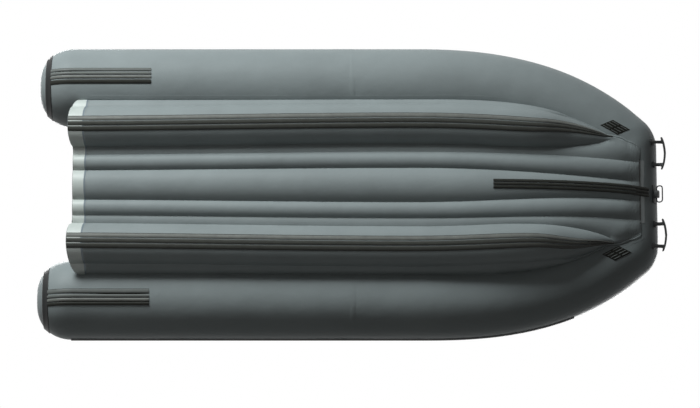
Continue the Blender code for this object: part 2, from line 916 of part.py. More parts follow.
def make_deck():
    rings = deck_rings()
    front = rings[-1].point(deck_contact, fit_gap)[0]
    rows = []
    for ring in rings:
        contact = ring.point(deck_contact, fit_gap)
        rows.append([(contact[0], y, z) for y, z in deck_section(contact, front)])
    top = np.array(rows)
    under = thicken(top, fabric, False)
    seat_edge(under, 0, [ring.deck_edge_below() for ring in rings])
    seat_edge(under, -1, [ring.deck_edge_below() for ring in rings], -1)
    under[:, :, 0] = top[:, :, 0]
    lowest = rings[-1].deck_edge_below()
    under[-1, :, 0] = lowest[0]
    under[-1, :, 2] = lowest[2]
    return skin_solid("deck_panel", top, under, "deck"), top


def deck_height(x):
    """The height of the deck's seams at a place along the boat."""
    heights = [(r.point(deck_contact, fit_gap)[0], r.point(deck_contact, fit_gap)[2])
               for r in deck_rings()]
    return float(np.interp(x, [h[0] for h in heights], [h[1] for h in heights]))


def make_web(name, offset, side):
    """One upright web that ties the deck to the bottom along a fold."""
    sections = []
    for ring in bottom_rings()[1:]:
        x = ring.bottom_edge()[0]
        if x > front_x - web_from_bow:
            break
        slack = fabric + (web_seat if x <= CURVE_START else web_slack)
        low = base_height(x) + slack
        high = deck_height(x) - slack
        y0, y1 = offset(x) - web_thickness / 2, offset(x) + web_thickness / 2
        section = [(x, y0, low), (x, y1, low), (x, y1, high), (x, y0, high)]
        sections.append([(px, side * py, pz) for px, py, pz in section])
    sweep(name, sections, "web", smooth=False)


def sponson_fold(x):
    return keel_offset(x) - sponson_half_width


def whole_row(side_grid, middle_grid, number):
    """One row of the bottom's points from port to starboard."""
    port = side_grid[number]
    return np.vstack((port, middle_grid[number, 1:-1], mirrored(port, -1)[::-1]))


def make_stern_panel(side_grid, middle_grid):
    """The upright panel that closes the floor at the stern, between bottom and deck."""
    low = whole_row(side_grid, middle_grid, 0)
    count = len(low)
    ring = side_ring(stern_x + floor_overhang, 1)
    deck = ring.point(deck_contact, fit_gap)
    rows = []
    for i in range(sides_between + 1):
        share = i / sides_between
        row = []
        for j, point in enumerate(low):
            top = np.array((deck[0], point[1] / low[0][1] * deck[1], deck[2]))
            spot = point + (top - point) * share
            if j in (0, count - 1):
                angle = ring.low + (deck_contact - ring.low) * share
                on_tube = ring.point(angle, fit_gap)
                side = 1 if j == 0 else -1
                spot = np.array((spot[0], side * on_tube[1], on_tube[2]))
            row.append(spot)
        rows.append(row)
    face = np.array(rows)
    face[:, :, 0] -= fit_gap + fabric
    back = face.copy()
    back[:, :, 0] -= fabric
    skin_solid("floor_stern_panel", face, back, "hull")


def make_stern_band(side_grid, middle_grid):
    """The pale reinforcing band under the floor's stern edge."""
    face = np.array([whole_row(side_grid, middle_grid, number) for number in (0, 1)])
    edge = face.shape[1] - 1
    normals = np.array([row_normals(row, np.array((0, 0, -1))) for row in face])
    inner = face + normals * band_seat
    outer = inner + normals * band_thickness
    for grid in (inner, outer):
        grid[:, :, 0] = face[:, :, 0]
        grid[0, :, 0] -= fit_gap
    ring = side_ring(stern_x + floor_overhang, 1)
    for grid, deep in ((inner, band_seat), (outer, band_top)):
        for column, side in ((0, 1), (edge, -1)):
            spot = ring.point(ring.low - deep / ring.radius, fit_gap)
            grid[:, column, 1] = side * spot[1]
            grid[:, column, 2] = spot[2]
    skin_solid("floor_stern_band", inner, outer, "band")


# Ridged strips

def ridged_section(points, normals, lap=0):
    """A closed section over a row of facets: the base along the facets, or a lap's height above
    them, and a ridge over each on the outside."""
    low = [p + (fit_gap + lap) * n for p, n in zip(points, normals)]
    edge = fit_gap + strake_base
    high = [points[0] + edge * normals[0]]
    for k in range(len(points) - 1):
        facet = points[k + 1] - points[k]
        out = normals[k] + normals[k + 1]
        out = out / np.linalg.norm(out)
        for share, height in ((ridge_foot_share, edge), (ridge_top_share, edge + strake_ridge),
                              (1 - ridge_top_share, edge + strake_ridge), (1 - ridge_foot_share, edge)):
            high.append(points[k] + facet * share + height * out)
        high.append(points[k + 1] + edge * normals[k + 1])
    return low + high[::-1]


def row_normals(points, toward):
    """In-plane normals of a row of YZ points, on the side of toward."""
    normals = []
    count = len(points)
    for k in range(count):
        a, b = points[max(k - 1, 0)], points[min(k + 1, count - 1)]
        along = b - a
        n = np.array((0, along[2], -along[1]))
        n = n / np.linalg.norm(n)
        normals.append(n if np.dot(n, toward) > 0 else -n)
    return normals


def make_strakes(side_grid):
    """The ridged rubber strakes that run along both sponson keels, over the stern band."""
    ridges = len(ridge_line_shares) - 1
    first = side_lobe_sides + (sponson_sides - ridges) // 2
    rows = [row[first:first + ridges + 1] for row in side_grid if row[0][0] <= TIP_X]
    stern, band, ahead = rows[:3]
    length = ahead[0][0] - band[0][0]
    past = band + (ahead - band) * fit_gap / length
    seated = band + (ahead - band) * (fit_gap + strake_base) / length
    laps = [(stern, band_top), (past, band_top), (seated, 0)] + [(row, 0) for row in rows[2:]]
    sections = []
    for points, lap in laps:
        sections.append(ridged_section(points, row_normals(points, np.array((0, 0, -1))), lap))
    for name, side in (("sponson_strake_port", 1), ("sponson_strake_starboard", -1)):
        sweep(name, [list(mirrored(s, side)) for s in sections], "strake", smooth=False)


def make_keel_strip(middle_grid):
    """The ridged strip on the centre lobe, which ends on the underside of the bow tube."""
    start = FRONT_EDGE[0] - keel_strip_length
    xs = middle_grid[:, 0, 0]
    stations = [start] + [x for x in xs if x > start]
    offsets = [-keel_strip_half_width * share for share in ridge_line_shares]
    sections = []
    for x in stations:
        row = np.array([[np.interp(x, xs, middle_grid[:, j, k]) for k in range(3)]
                        for j in range(middle_grid.shape[1])])
        row = row[::-1]
        points = [np.array((x, y, np.interp(y, row[:, 1], row[:, 2]) - keel_strip_seat)) for y in offsets]
        sections.append(ridged_section(points, row_normals(points, np.array((0, 0, -1)))))
    ring = front_ring()
    for share, lift in zip(keel_lap_shares, (fit_gap, 0)):
        angle = ring.low - share * keel_strip_lap / ring.radius
        spot = ring.point(angle, fabric + keel_strip_seat + lift)
        points = [np.array((spot[0], y, spot[2])) for y in offsets]
        sections.append(ridged_section(points, [ring.direction(angle)] * len(points)))
    sweep("keel_strip", sections, "strake", smooth=False)


def make_skid_strip(name, side):
    """The three-ridge strip under each tube's stern end."""
    reach = skid_strip_half_width / tube_radius
    step = 2 * reach / (len(ridge_line_shares) - 1)
    out = (tube_radius + fit_gap) / math.cos(step / 2) - tube_radius
    sections = []
    shares = (skid_strip_start_share,) + dome_shares[5:]
    rings = [dome_ring(dome_x(share), share, 0.0) for share in shares]
    rings.append(side_ring(dome_x(skid_strip_start_share) + skid_strip_length, 1))
    for ring in rings:
        angles = [skid_strip_angle + reach * share for share in ridge_line_shares]
        points = [ring.point(a, out) for a in angles]
        normals = [ring.direction(a) for a in angles]
        sections.append(list(mirrored(ridged_section(points, normals), side)))
    sweep(name, sections, "strake", smooth=False)


def make_stern_cap(name, side):
    """The moulded rubber ring on each blunt tube end."""
    low, high = dome_shares[3], dome_shares[4]
    near = dome_ring(dome_x(low), low, 0.0)
    far = dome_ring(dome_x(high), high, 0.0)
    slope = math.atan2(far.radius - near.radius, dome_x(high) - dome_x(low))
    loops = []
    for lift in (fit_gap, fit_gap + cap_thickness):
        for share in (cap_edge_inset / dome_length, 1 - cap_edge_inset / dome_length):
            x = dome_x(low) + (dome_x(high) - dome_x(low)) * share - lift * math.sin(slope)
            radius = near.radius + (far.radius - near.radius) * share + lift * math.cos(slope)
            ring = Ring(x, side_offset, 0.0)
            ring.radius = radius
            ring.centre[2] = tube_height + rise_at(x)
            loops.append(mirrored(ring.points(), side))
    order = (0, 1, 3, 2)
    sections = [[loops[k][j] for k in order] for j in range(sides_round)]
    sweep(name, sections, "rubber", loop=True)


def make_rub_strake(name, side):
    """The flat fender strip along the widest line of the tube."""
    stations = [side_ring(x, 1) for x in [dome_x(1.0)] + SIDE_STATIONS]
    last = front_x - rub_strake_bow_gap
    stations += [ring for ring in bow_rings() if ring.centre[0] < last]
    sections = []
    reach = rub_strake_height / 2 / tube_radius
    for ring in stations:
        points = []
        for deep in (0, 1):
            turns = (-reach, 0, reach) if deep == 0 else (reach, 0, -reach)
            for turn in turns:
                lift = (ring.radius + 2 * fit_gap) / math.cos(reach / 2) - ring.radius
                thick = rub_strake_thickness * (1 if turn == 0 else rub_strake_edge_share)
                points.append(ring.point(rub_strake_angle + turn, lift + deep * thick))
        sections.append(list(mirrored(points, side)))
    sweep(name, sections, "rubber")


def make_bow_patch(name, side, tube):
    """The diamond wear patch on the bow tube ahead of each sponson's tip, laid onto the tube."""
    centre = np.array((front_x - bow_patch_from_bow, keel_offset(TIP_X) + bow_patch_from_keel, 0))
    along = np.array((math.cos(bow_patch_turn), -math.sin(bow_patch_turn), 0))
    across = np.array((math.sin(bow_patch_turn), math.cos(bow_patch_turn), 0))
    base, top = [], []
    for i in range(bow_patch_steps + 1):
        lines = ([], [])
        for j in range(bow_patch_steps + 1):
            first, second = i / bow_patch_steps, j / bow_patch_steps
            spot = centre + along * (first + second - 1) * bow_patch_length / 2
            spot = spot + across * (first - second) * bow_patch_width / 2
            hit, place, normal, _ = tube.ray_cast(Vector(spot), Vector((0, 0, 1)))
            for line, lift in zip(lines, (bow_patch_seat, bow_patch_seat + strake_base)):
                line.append(np.array(place + normal * lift))
        base.append(lines[0])
        top.append(lines[1])
    skin_solid(name, mirrored(base, side), mirrored(top, side), "strake")


# Bow fittings

def lift_frame(frame, height):
    """The world point above a frame's origin, along its Z."""
    return np.array(frame @ Vector((0, 0, height)))


def corner_end(ring, facet):
    """How far from the centre line a flat of the straight front ends."""
    first, second = ring.angles()[sides_between + facet:sides_between + facet + 2]
    return (ring.point(first)[1] + ring.point(second)[1]) / 2


def make_bow_handle(name, side):
    """A moulded lifting handle: a bowed bar with overhanging ends on two footed legs."""
    rings = bow_rings()
    inner_share = handle_leg_inset / corner_end(rings[-2], handle_facet)
    feet = (facet_place(rings[-2], rings[-1], handle_facet, inner_share),
            facet_place(rings[-3], rings[-2], handle_facet, handle_outer_share))
    seats = (fit_gap, handle_outer_seat)
    legs = [lift_frame(frame, seat + handle_foot_thickness / 2) for frame, seat in zip(feet, seats)]
    middle = (legs[0] + legs[1]) / 2
    half = handle_length / 2
    sections = []
    for share in handle_bar_shares:
        x = front_x + handle_reach - handle_bar_thickness / 2 - handle_bow * share ** 2
        centre = np.array((x, middle[1] + half * share, middle[2]))
        end = handle_end_share if abs(share) == 1 else 1
        outline = rounded_rectangle(handle_bar_thickness * end, handle_bar_width * end,
                                    handle_corner * end, 1)
        sections.append([centre + np.array((u, 0, v)) for u, v in outline])
    bar = sweep(name, sections, "rubber")
    leg_outline = rounded_rectangle(handle_leg_width, handle_leg_width, handle_corner, 1)
    for frame, root, seat in zip(feet, legs, seats):
        share = (root[1] - middle[1]) / half
        tip = np.array((front_x + handle_reach - handle_bar_thickness / 2 - handle_bow * share ** 2,
                        root[1], middle[2]))
        middle_height = seat + handle_foot_thickness / 2
        low = [np.array(frame @ Vector((-u, -v, middle_height))) for u, v in leg_outline]
        join(bar, sweep("leg", [low, [tip + np.array((0, u, v)) for u, v in leg_outline]], "rubber"))
        size = (handle_foot_length, handle_foot_width, handle_foot_thickness)
        join(bar, box("foot", size, (0, 0, middle_height), "rubber", frame))
    bar.data.transform(Matrix.Diagonal((1, side, 1, 1)))
    if side < 0:
        bar.data.flip_normals()
    return bar


def make_tow_ring():
    """The tow eye under the bow: a patched block and the ring that swings in it."""
    rings = bow_rings()
    frame = facet_place(rings[-2], rings[-1], tow_facet, 1.0)
    axis_height = tow_patch_thickness + tow_block_depth / 2
    block = box("tow_block", (tow_patch_width, tow_patch_height, tow_patch_thickness - fit_gap),
                (0, 0, (tow_patch_thickness + fit_gap) / 2), "rubber", frame)
    head = rounded_rectangle(tow_block_width, tow_block_height, tow_block_corner, 2)
    block_top = tow_patch_thickness + tow_block_depth
    join(block, prism("head", head, tow_patch_thickness / 2, block_top, "rubber", frame))
    hinge = frame @ Matrix.Translation((0, 0, axis_height))
    across = hinge @ Matrix.Rotation(math.pi / 2, 4, "Y")
    bore_radius = tow_ring_wire / 2 + tow_bore_clearance
    cut(block, revolve("bore", [(0, -tow_block_width), (bore_radius, -tow_block_width),
                                (bore_radius, tow_block_width), (0, tow_block_width)], "rubber", across,
                       tow_wire_sides))
    radius = tow_ring_wire / 2
    half, deep, corner = tow_ring_width / 2 - radius, tow_ring_depth - radius, tow_ring_corner
    path = []
    for centre_x, centre_z, turn in ((half - corner, corner, 3), (half - corner, deep - corner, 0),
                                     (corner - half, deep - corner, 1), (corner - half, corner, 2)):
        for step in range(tow_corner_steps + 1):
            angle = math.pi / 2 * (turn + step / tow_corner_steps)
            path.append(((centre_x + corner * math.cos(angle), centre_z + corner * math.sin(angle)), angle))
    sections = []
    beside = np.array((0, 1, 0))
    for (x, z), angle in path:
        out = np.array((math.cos(angle), 0, math.sin(angle)))
        turns = [math.tau * i / tow_wire_sides for i in range(tow_wire_sides)]
        sections.append([np.array((x, 0, z)) + radius * (math.cos(turn) * out + math.sin(turn) * beside)
                         for turn in turns])
    sweep("tow_ring", sections, "plastic", hinge, loop=True)


# Transom

def transom_circle(out, angle):
    """A (half width, height) point beside the tube at the transom, out from the holder's seat."""
    step = (holder_high_angle - holder_low_angle) / holder_sides
    radius = (tube_radius + fit_gap + out) / math.cos(step / 2)
    spot = side_ring(transom_x, 1).centre + radius * side_ring(transom_x, 1).direction(angle)
    return spot[1], spot[2]


def holder_angles():
    step = (holder_high_angle - holder_low_angle) / holder_sides
    return [holder_low_angle + step * i for i in range(holder_sides + 1)]


def make_transom():
    bottom = deck_height(transom_x) + deck_bulge + transom_floor_gap
    side = [transom_circle(holder_thickness + fit_gap, angle) for angle in holder_angles()]
    half_notch = transom_notch_width / 2
    port = [(side[0][0] - transom_low_corner, bottom)] + side
    port += [(side[-1][0] - transom_top_corner, transom_height),
             (half_notch + transom_notch_slope, transom_height), (half_notch, transom_notch_height)]
    outline = port + [(-y, z) for y, z in reversed(port)]
    upright = Matrix.Translation((transom_x, 0, 0)) @ frame_matrix((0, 0, 0), (0, 1, 0), (1, 0, 0))
    board = prism("transom_board", outline, -transom_thickness / 2, transom_thickness / 2, "wood", upright)
    drain_z = bottom + drain_height
    plate_top = transom_notch_height - plate_drop
    plate_height = plate_top - (drain_z + drain_flange_radius + plate_above_drain)
    for name, sign in (("transom_plate_outer", -1), ("transom_plate_inner", 1)):
        centre = (0, plate_top - plate_height / 2,
                  sign * (transom_thickness / 2 + fit_gap + plate_thickness / 2))
        box(name, (plate_width, plate_height, plate_thickness), centre, "plastic", upright)
    drain = upright @ Matrix.Translation((drain_offset, drain_z, 0))
    hole = [(0, -transom_thickness), (drain_radius + fit_gap, -transom_thickness),
            (drain_radius + fit_gap, transom_thickness), (0, transom_thickness)]
    cut(board, revolve("hole", hole, "wood", drain))
    make_drain(drain)


def make_drain(place):
    face = transom_thickness / 2 + fit_gap
    top = face + drain_flange_thickness
    back = -face - drain_lip
    housing = [(drain_bore_radius, back), (drain_radius, back), (drain_radius, face),
               (drain_flange_radius, face), (drain_flange_radius, top), (drain_bore_radius, top)]
    revolve("drain_housing", housing, "plastic", place)
    stem = drain_bore_radius - fit_gap
    plug = [(0, -face), (stem, -face), (stem, top + fit_gap), (drain_plug_grip_radius, top + fit_gap),
            (drain_plug_grip_radius, top + drain_plug_grip_length), (0, top + drain_plug_grip_length)]
    revolve("drain_plug", plug, "plastic", place)


def make_transom_holder(name, side):
    """A moulded strip glued to the tube, with two walls that hold the board's end between them."""
    inside = transom_thickness / 2 + fit_gap
    outside = inside + holder_wall
    reach = outside + holder_flange
    half = [(reach, 0), (reach, holder_thickness), (outside, holder_thickness), (outside, holder_depth),
            (inside, holder_depth), (inside, holder_thickness)]
    profile = half + [(-x, out) for x, out in reversed(half)]
    sections = []
    for angle in holder_angles():
        section = []
        for x, out in profile:
            y, z = transom_circle(out, angle)
            section.append((transom_x + x, side * y, z))
        sections.append(section)
    sweep(name, sections, "rubber", smooth=False)


# Seats

def rail_seat():
    """The flat of the tube that a rail is glued to: its two edges and the way out of it."""
    ring = side_ring(seam_x, 1)
    first, second = ring.angles()[sides_between + rail_facet:sides_between + rail_facet + 2]
    out = ring.direction((first + second) / 2)
    low, high = ring.point(first), ring.point(second)
    inset = (high - low) * rail_edge_share
    return low + inset + out * fit_gap, high - inset + out * fit_gap, out


def rail_front():
    return CURVE_START - rail_front_gap


def make_rail(name, side):
    low, high, out = rail_seat()
    front = rail_front()
    top = high + out * rail_thickness
    ledge_y = top[1] - rail_ledge
    outline = [(low[1], low[2]), (high[1], high[2]), (top[1], top[2]), (ledge_y, top[2]),
               (ledge_y, top[2] - rail_thickness), tuple((low + out * rail_thickness)[1:])]
    sections = [[(x, side * y, z) for y, z in outline] for x in (front - rail_length, front)]
    sweep(name, sections, "rubber", smooth=False)
    return top


def make_seat(name, from_rail, rail_top):
    width = 2 * (rail_top[1] - seat_end_gap)
    outline = rounded_rectangle(seat_depth, width, seat_corner)
    base = rail_top[2] + fit_gap
    place = Matrix.Translation((rail_front() - from_rail, 0, base))
    prism(name, outline, 0, seat_thickness, "wood", place)


# Rowlocks

def make_rowlock(word, side):
    near, far = side_ring(front_x - rowlock_from_bow, side), side_ring(seam_x, side)
    frame = facet_place(near, far, rowlock_facet, 0.0)
    foot = rounded_rectangle(rowlock_base_length, rowlock_base_width, rowlock_corner, 2)
    base = prism("rowlock_base_" + word, foot, fit_gap, rowlock_base_thickness, "plastic", frame)
    top = rowlock_base_thickness + rowlock_socket_height
    socket = [(0, rowlock_base_thickness / 2), (rowlock_socket_radius, rowlock_base_thickness / 2),
              (rowlock_socket_radius, top), (0, top)]
    join(base, revolve("socket", socket, "plastic", frame))
    bore = rowlock_pin_radius + rowlock_pin_clearance
    cut(base, revolve("bore", [(0, rowlock_floor), (bore, rowlock_floor), (bore, 2 * top), (0, 2 * top)],
                      "plastic", frame))
    seat = top + fit_gap
    foot_height = rowlock_floor + rowlock_pin_clearance
    pin = [(0, foot_height), (rowlock_pin_radius, foot_height), (rowlock_pin_radius, seat),
           (rowlock_socket_radius, seat),
           (rowlock_neck_radius, seat + rowlock_neck), (0, seat + rowlock_neck)]
    swivel = revolve("rowlock_swivel_" + word, pin, "steel", frame)
    centre = seat + rowlock_neck / 2 + rowlock_fork_wall + rowlock_fork_radius
    outline = []
    for radius, order in ((rowlock_fork_radius + rowlock_fork_wall, 1), (rowlock_fork_radius, -1)):
        tips = [(-radius, centre + rowlock_fork_height)]
        for i in range(rowlock_fork_steps + 1):
            turn = math.pi * (1 + i / rowlock_fork_steps)
            tips.append((radius * math.cos(turn), centre + radius * math.sin(turn)))
        tips.append((radius, centre + rowlock_fork_height))
        outline += tips[::order]
    across = frame @ frame_matrix((0, 0, 0), (1, 0, 0), (0, -1, 0))
    join(swivel, prism("fork", outline, -rowlock_fork_width / 2, rowlock_fork_width / 2, "steel", across))


# Air valves

def make_valve(word, skin, frame):
    """A valve in a hole of the skin: its body, its sprung plunger and its cap."""
    hole = [(0, -valve_barrel_length), (valve_hole_radius, -valve_barrel_length),
            (valve_hole_radius, valve_barrel_length), (0, valve_barrel_length)]
    cut(skin, revolve("hole", hole, "hull", frame))
    low = valve_flange_seat - valve_barrel_length
    top = valve_flange_seat + valve_flange_thickness
    seat = low + valve_seat_thickness
    body = [(valve_seat_radius, low), (valve_barrel_radius, low), (valve_barrel_radius, valve_flange_seat),
            (valve_flange_radius, valve_flange_seat), (valve_flange_radius, top), (valve_bore_radius, top),
            (valve_bore_radius, seat), (valve_seat_radius, seat)]
    revolve("valve_body_" + word, body, "plastic", frame)
    head = low - fit_gap
    tip = top - valve_cap_plug_length - valve_stem_clearance
    plunger = [(0, head - valve_head_thickness), (valve_head_radius, head - valve_head_thickness),
               (valve_head_radius, head), (valve_stem_radius, head), (valve_stem_radius, tip), (0, tip)]
    revolve("valve_plunger_" + word, plunger, "plastic", frame)
    rest = top + fit_gap
    crown = rest + valve_cap_height
    rim = valve_cap_radius - valve_cap_wall
    cap = [(0, top - valve_cap_plug_length), (valve_cap_plug_radius, top - valve_cap_plug_length),
           (valve_cap_plug_radius, crown - valve_cap_wall), (rim, crown - valve_cap_wall), (rim, rest),
           (valve_cap_radius, rest), (valve_cap_radius, crown), (0, crown)]
    revolve("valve_cap_" + word, cap, "plastic", frame)


def make_valves(port, starboard, bow, deck, deck_grid):
    place = stern_x + valve_tube_from_stern
    for word, tube, side in (("port", port, 1), ("starboard", starboard, -1)):
        near, far = side_ring(place, side), side_ring(seam_x, side)
        make_valve(word, tube, facet_place(near, far, valve_tube_facet, 0.0))
    rings = bow_rings()
    make_valve("bow", bow, facet_place(rings[-2], rings[-1], valve_bow_facet, valve_bow_share))
    where = front_x - valve_deck_from_bow
    row = int(np.searchsorted(deck_grid[:, 0, 0], where)) - 1
    column = (deck_grid.shape[1] - 1) // 2
    near, far = deck_grid[row], deck_grid[row + 1]
    share = (where - near[0][0]) / (far[0][0] - near[0][0])
    edges = [(line[column], line[column + 1]) for line in (near, far)]
    make_valve("deck", deck, flat_place(edges[0], edges[1], np.array((0, 0, 1)), share))


def main():
    clear_scene()
    port, starboard, bow = make_tubes()
    make_baffle("baffle_port", 1)
    make_baffle("baffle_starboard", -1)
    side_grid, middle_grid = make_bottom()
    deck, deck_grid = make_deck()
    for word, side in (("port", 1), ("starboard", -1)):
        for place, offset in (("outer", sponson_fold), ("middle", rib_offset), ("inner", centre_offset)):
            make_web("floor_web_" + word + "_" + place, offset, side)
    make_stern_panel(side_grid, middle_grid)
    make_stern_band(side_grid, middle_grid)
    make_strakes(side_grid)
    make_keel_strip(middle_grid)
    for word, side in (("port", 1), ("starboard", -1)):
        make_skid_strip("skid_strip_" + word, side)
        make_stern_cap("stern_cap_" + word, side)
        make_rub_strake("rub_strake_" + word, side)
        make_bow_patch("bow_patch_" + word, side, bow)
    for word, side in (("port", 1), ("starboard", -1)):
        make_bow_handle("bow_handle_" + word, side)
        make_transom_holder("transom_holder_" + word, side)
        rail_top = make_rail("seat_rail_" + word, side)
        make_rowlock(word, side)
    make_tow_ring()
    make_transom()
    make_seat("seat_front", seat_front_from_rail, rail_top)
    make_seat("seat_rear", seat_rear_from_rail, rail_top)
    make_valves(port, starboard, bow, deck, deck_grid)


main()
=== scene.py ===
import json
import math

import bmesh
import bpy
import numpy as np
from mathutils import Matrix, Vector
from mathutils.bvhtree import BVHTree


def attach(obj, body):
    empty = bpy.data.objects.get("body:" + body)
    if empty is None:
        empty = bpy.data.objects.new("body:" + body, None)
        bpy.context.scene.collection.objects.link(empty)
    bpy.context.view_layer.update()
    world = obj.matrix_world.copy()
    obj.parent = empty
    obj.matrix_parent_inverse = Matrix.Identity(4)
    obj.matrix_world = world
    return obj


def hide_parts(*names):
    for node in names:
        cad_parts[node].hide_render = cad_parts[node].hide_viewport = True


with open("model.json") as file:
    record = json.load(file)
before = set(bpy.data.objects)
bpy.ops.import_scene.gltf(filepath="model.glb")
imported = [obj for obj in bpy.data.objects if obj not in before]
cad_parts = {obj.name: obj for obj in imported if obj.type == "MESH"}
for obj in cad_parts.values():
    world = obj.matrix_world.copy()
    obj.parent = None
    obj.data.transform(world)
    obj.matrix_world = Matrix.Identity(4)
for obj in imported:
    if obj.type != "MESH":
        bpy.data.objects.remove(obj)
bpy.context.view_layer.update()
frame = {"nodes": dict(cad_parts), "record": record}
nodes = frame["nodes"]

WORDS = ("port", "starboard")
SIDES = (("port", 1), ("starboard", -1))
UP = np.array((0, 0, 1.0))
RISING = Vector((0, 0, 1))
BELOW = -1.0  # a height under the whole boat, where rays toward its bottom start

# The hull's driving sizes, as in the part's source, in metres and radians
FRONT_X, STERN_X = 1.7765, -1.8235
TUBE_R, BOW_R = 0.23, 0.205
TAPER_END_SHARE = 0.84  # of the bow's turn, where the tube has its bow radius
SIDE_OFFSET, TUBE_Z = 0.63, 0.35
BOW_RISE, RISE_POWER = 0.115, 1.5
CURVE_LENGTH, CURVE_TURN, CURVE_POWER = 1.17, math.radians(37), 1.62
CURVE_STEPS, CURVE_SUBSTEPS = 28, 12
PIVOT_GAP, CORNER_REACH, FRONT_HALF_SHARE = 0.001, math.radians(11.5), 0.29516
CORNER_DEGREES = (-23, -19, -15, -11.5, -9.2, -6.9, -4.6, -2.3, 0, 2.3, 4.6, 6.9, 9.2, 11.5)
CONTACT_SHARES = ((0, 0), (0.4933, 0.41), (0.8467, 0.687), (1, 1))
SEAM_X = FRONT_X - 1.78
FLOOR_EDGE_X = STERN_X + 0.245
DOME_LENGTH, DOME_BLUNT, DOME_TIP = 0.20, 2.6, 0.03
DOME_SHARES = (0.03, 0.05, 0.08, 0.12, 0.17, 0.23, 0.30, 0.38, 0.47, 0.57, 0.68, 0.79, 0.9, 1.0)
LOW_SIDE, LOW_BOW = math.radians(30.5), math.radians(-27)
DECK_ANGLE = math.radians(50)
GAP, SKIN = 0.0003, 0.0011
SINK = 0.0012  # the round tube lies this much inside the solid's circle, between its corners and its flats
CREASE_Z = 0.0990
BAND_WIDTH = 0.045
STERN_OVERRUN, MIDDLE_OVERRUN = 0.064, 0.55
ROUND_STEPS = 72

# The bottom's fold lines, as shares of the floor's half width at the stern, the curve's start and the front
KEEL_SHARES = (0.6663, 0.7053, 0.6274)
RIB_SHARES = (0.3448, 0.3799, 0.3351)
CENTRE_SHARES = (0.1676, 0.1968, 0.1091)
TIP_SETBACK = 0.14
SPONSON_HALF, SPONSON_DEPTH, SPONSON_LEAST = 0.118, 0.094, 0.006
SPONSON_FADE, SPONSON_POWER = 0.72, 0.6
BASE_FADE, BASE_POWER = 1.10, 3.2
FRONT_FADE = 0.10
CONTACT_ROOM, CONTACT_NEAR, RIB_ROOM = 0.012, 0.020, 0.030
OUTER_RISE_SHARE, INNER_RISE_SHARE = 0.9, 0.5
SIDE_BULGE, SIDE_BULGE_SHARE = 0.012, 0.30
STRIP_BULGE, STRIP_BULGE_BOW = 0.004, 0.017
RIB_BULGE, CENTRE_BULGE_SHARE = 0.024, 0.42
SIDE_N, SPONSON_N, STRIP_N, RIB_N, CENTRE_N = 8, 36, 5, 12, 28
PUCKER_HEIGHT, PUCKER_REACH = 0.0009, 1.6


# Materials

def new_material(name):
    made = bpy.data.materials.new(name)
    made.use_nodes = True
    return made, made.node_tree, made.node_tree.nodes["Principled BSDF"]


def add_node(tree, kind, **sockets):
    made = tree.nodes.new(kind)
    for key, value in sockets.items():
        made.inputs[key.replace("_", " ")].default_value = value
    return made


def add_texture(tree, kind, vector, **sockets):
    made = add_node(tree, "ShaderNodeTex" + kind, **sockets)
    tree.links.new(vector, made.inputs["Vector"])
    return made


def add_bump(tree, height, strength, distance):
    made = add_node(tree, "ShaderNodeBump", Strength=strength, Distance=distance)
    tree.links.new(height, made.inputs["Height"])
    return made


def add_math(tree, operation, first, second):
    made = tree.nodes.new("ShaderNodeMath")
    made.operation = operation
    tree.links.new(first, made.inputs[0])
    tree.links.new(second, made.inputs[1])
    return made.outputs["Value"]


def object_places(tree, stretch):
    """The object's own coordinates, as they are and stretched."""
    where = add_node(tree, "ShaderNodeTexCoord").outputs["Object"]
    scaled = add_node(tree, "ShaderNodeMapping", Scale=stretch)
    tree.links.new(where, scaled.inputs["Vector"])
    return where, scaled.outputs["Vector"]


def add_ramp(tree, value, stops):
    """A colour ramp through (place, colour) stops."""
    made = tree.nodes.new("ShaderNodeValToRGB")
    elements = made.color_ramp.elements
    elements.remove(elements[0])
    elements[0].position = stops[0][0]
    elements[0].color = stops[0][1]
    for place, colour in stops[1:]:
        elements.new(place).color = colour
    tree.links.new(value, made.inputs["Fac"])
    return made.outputs["Color"]


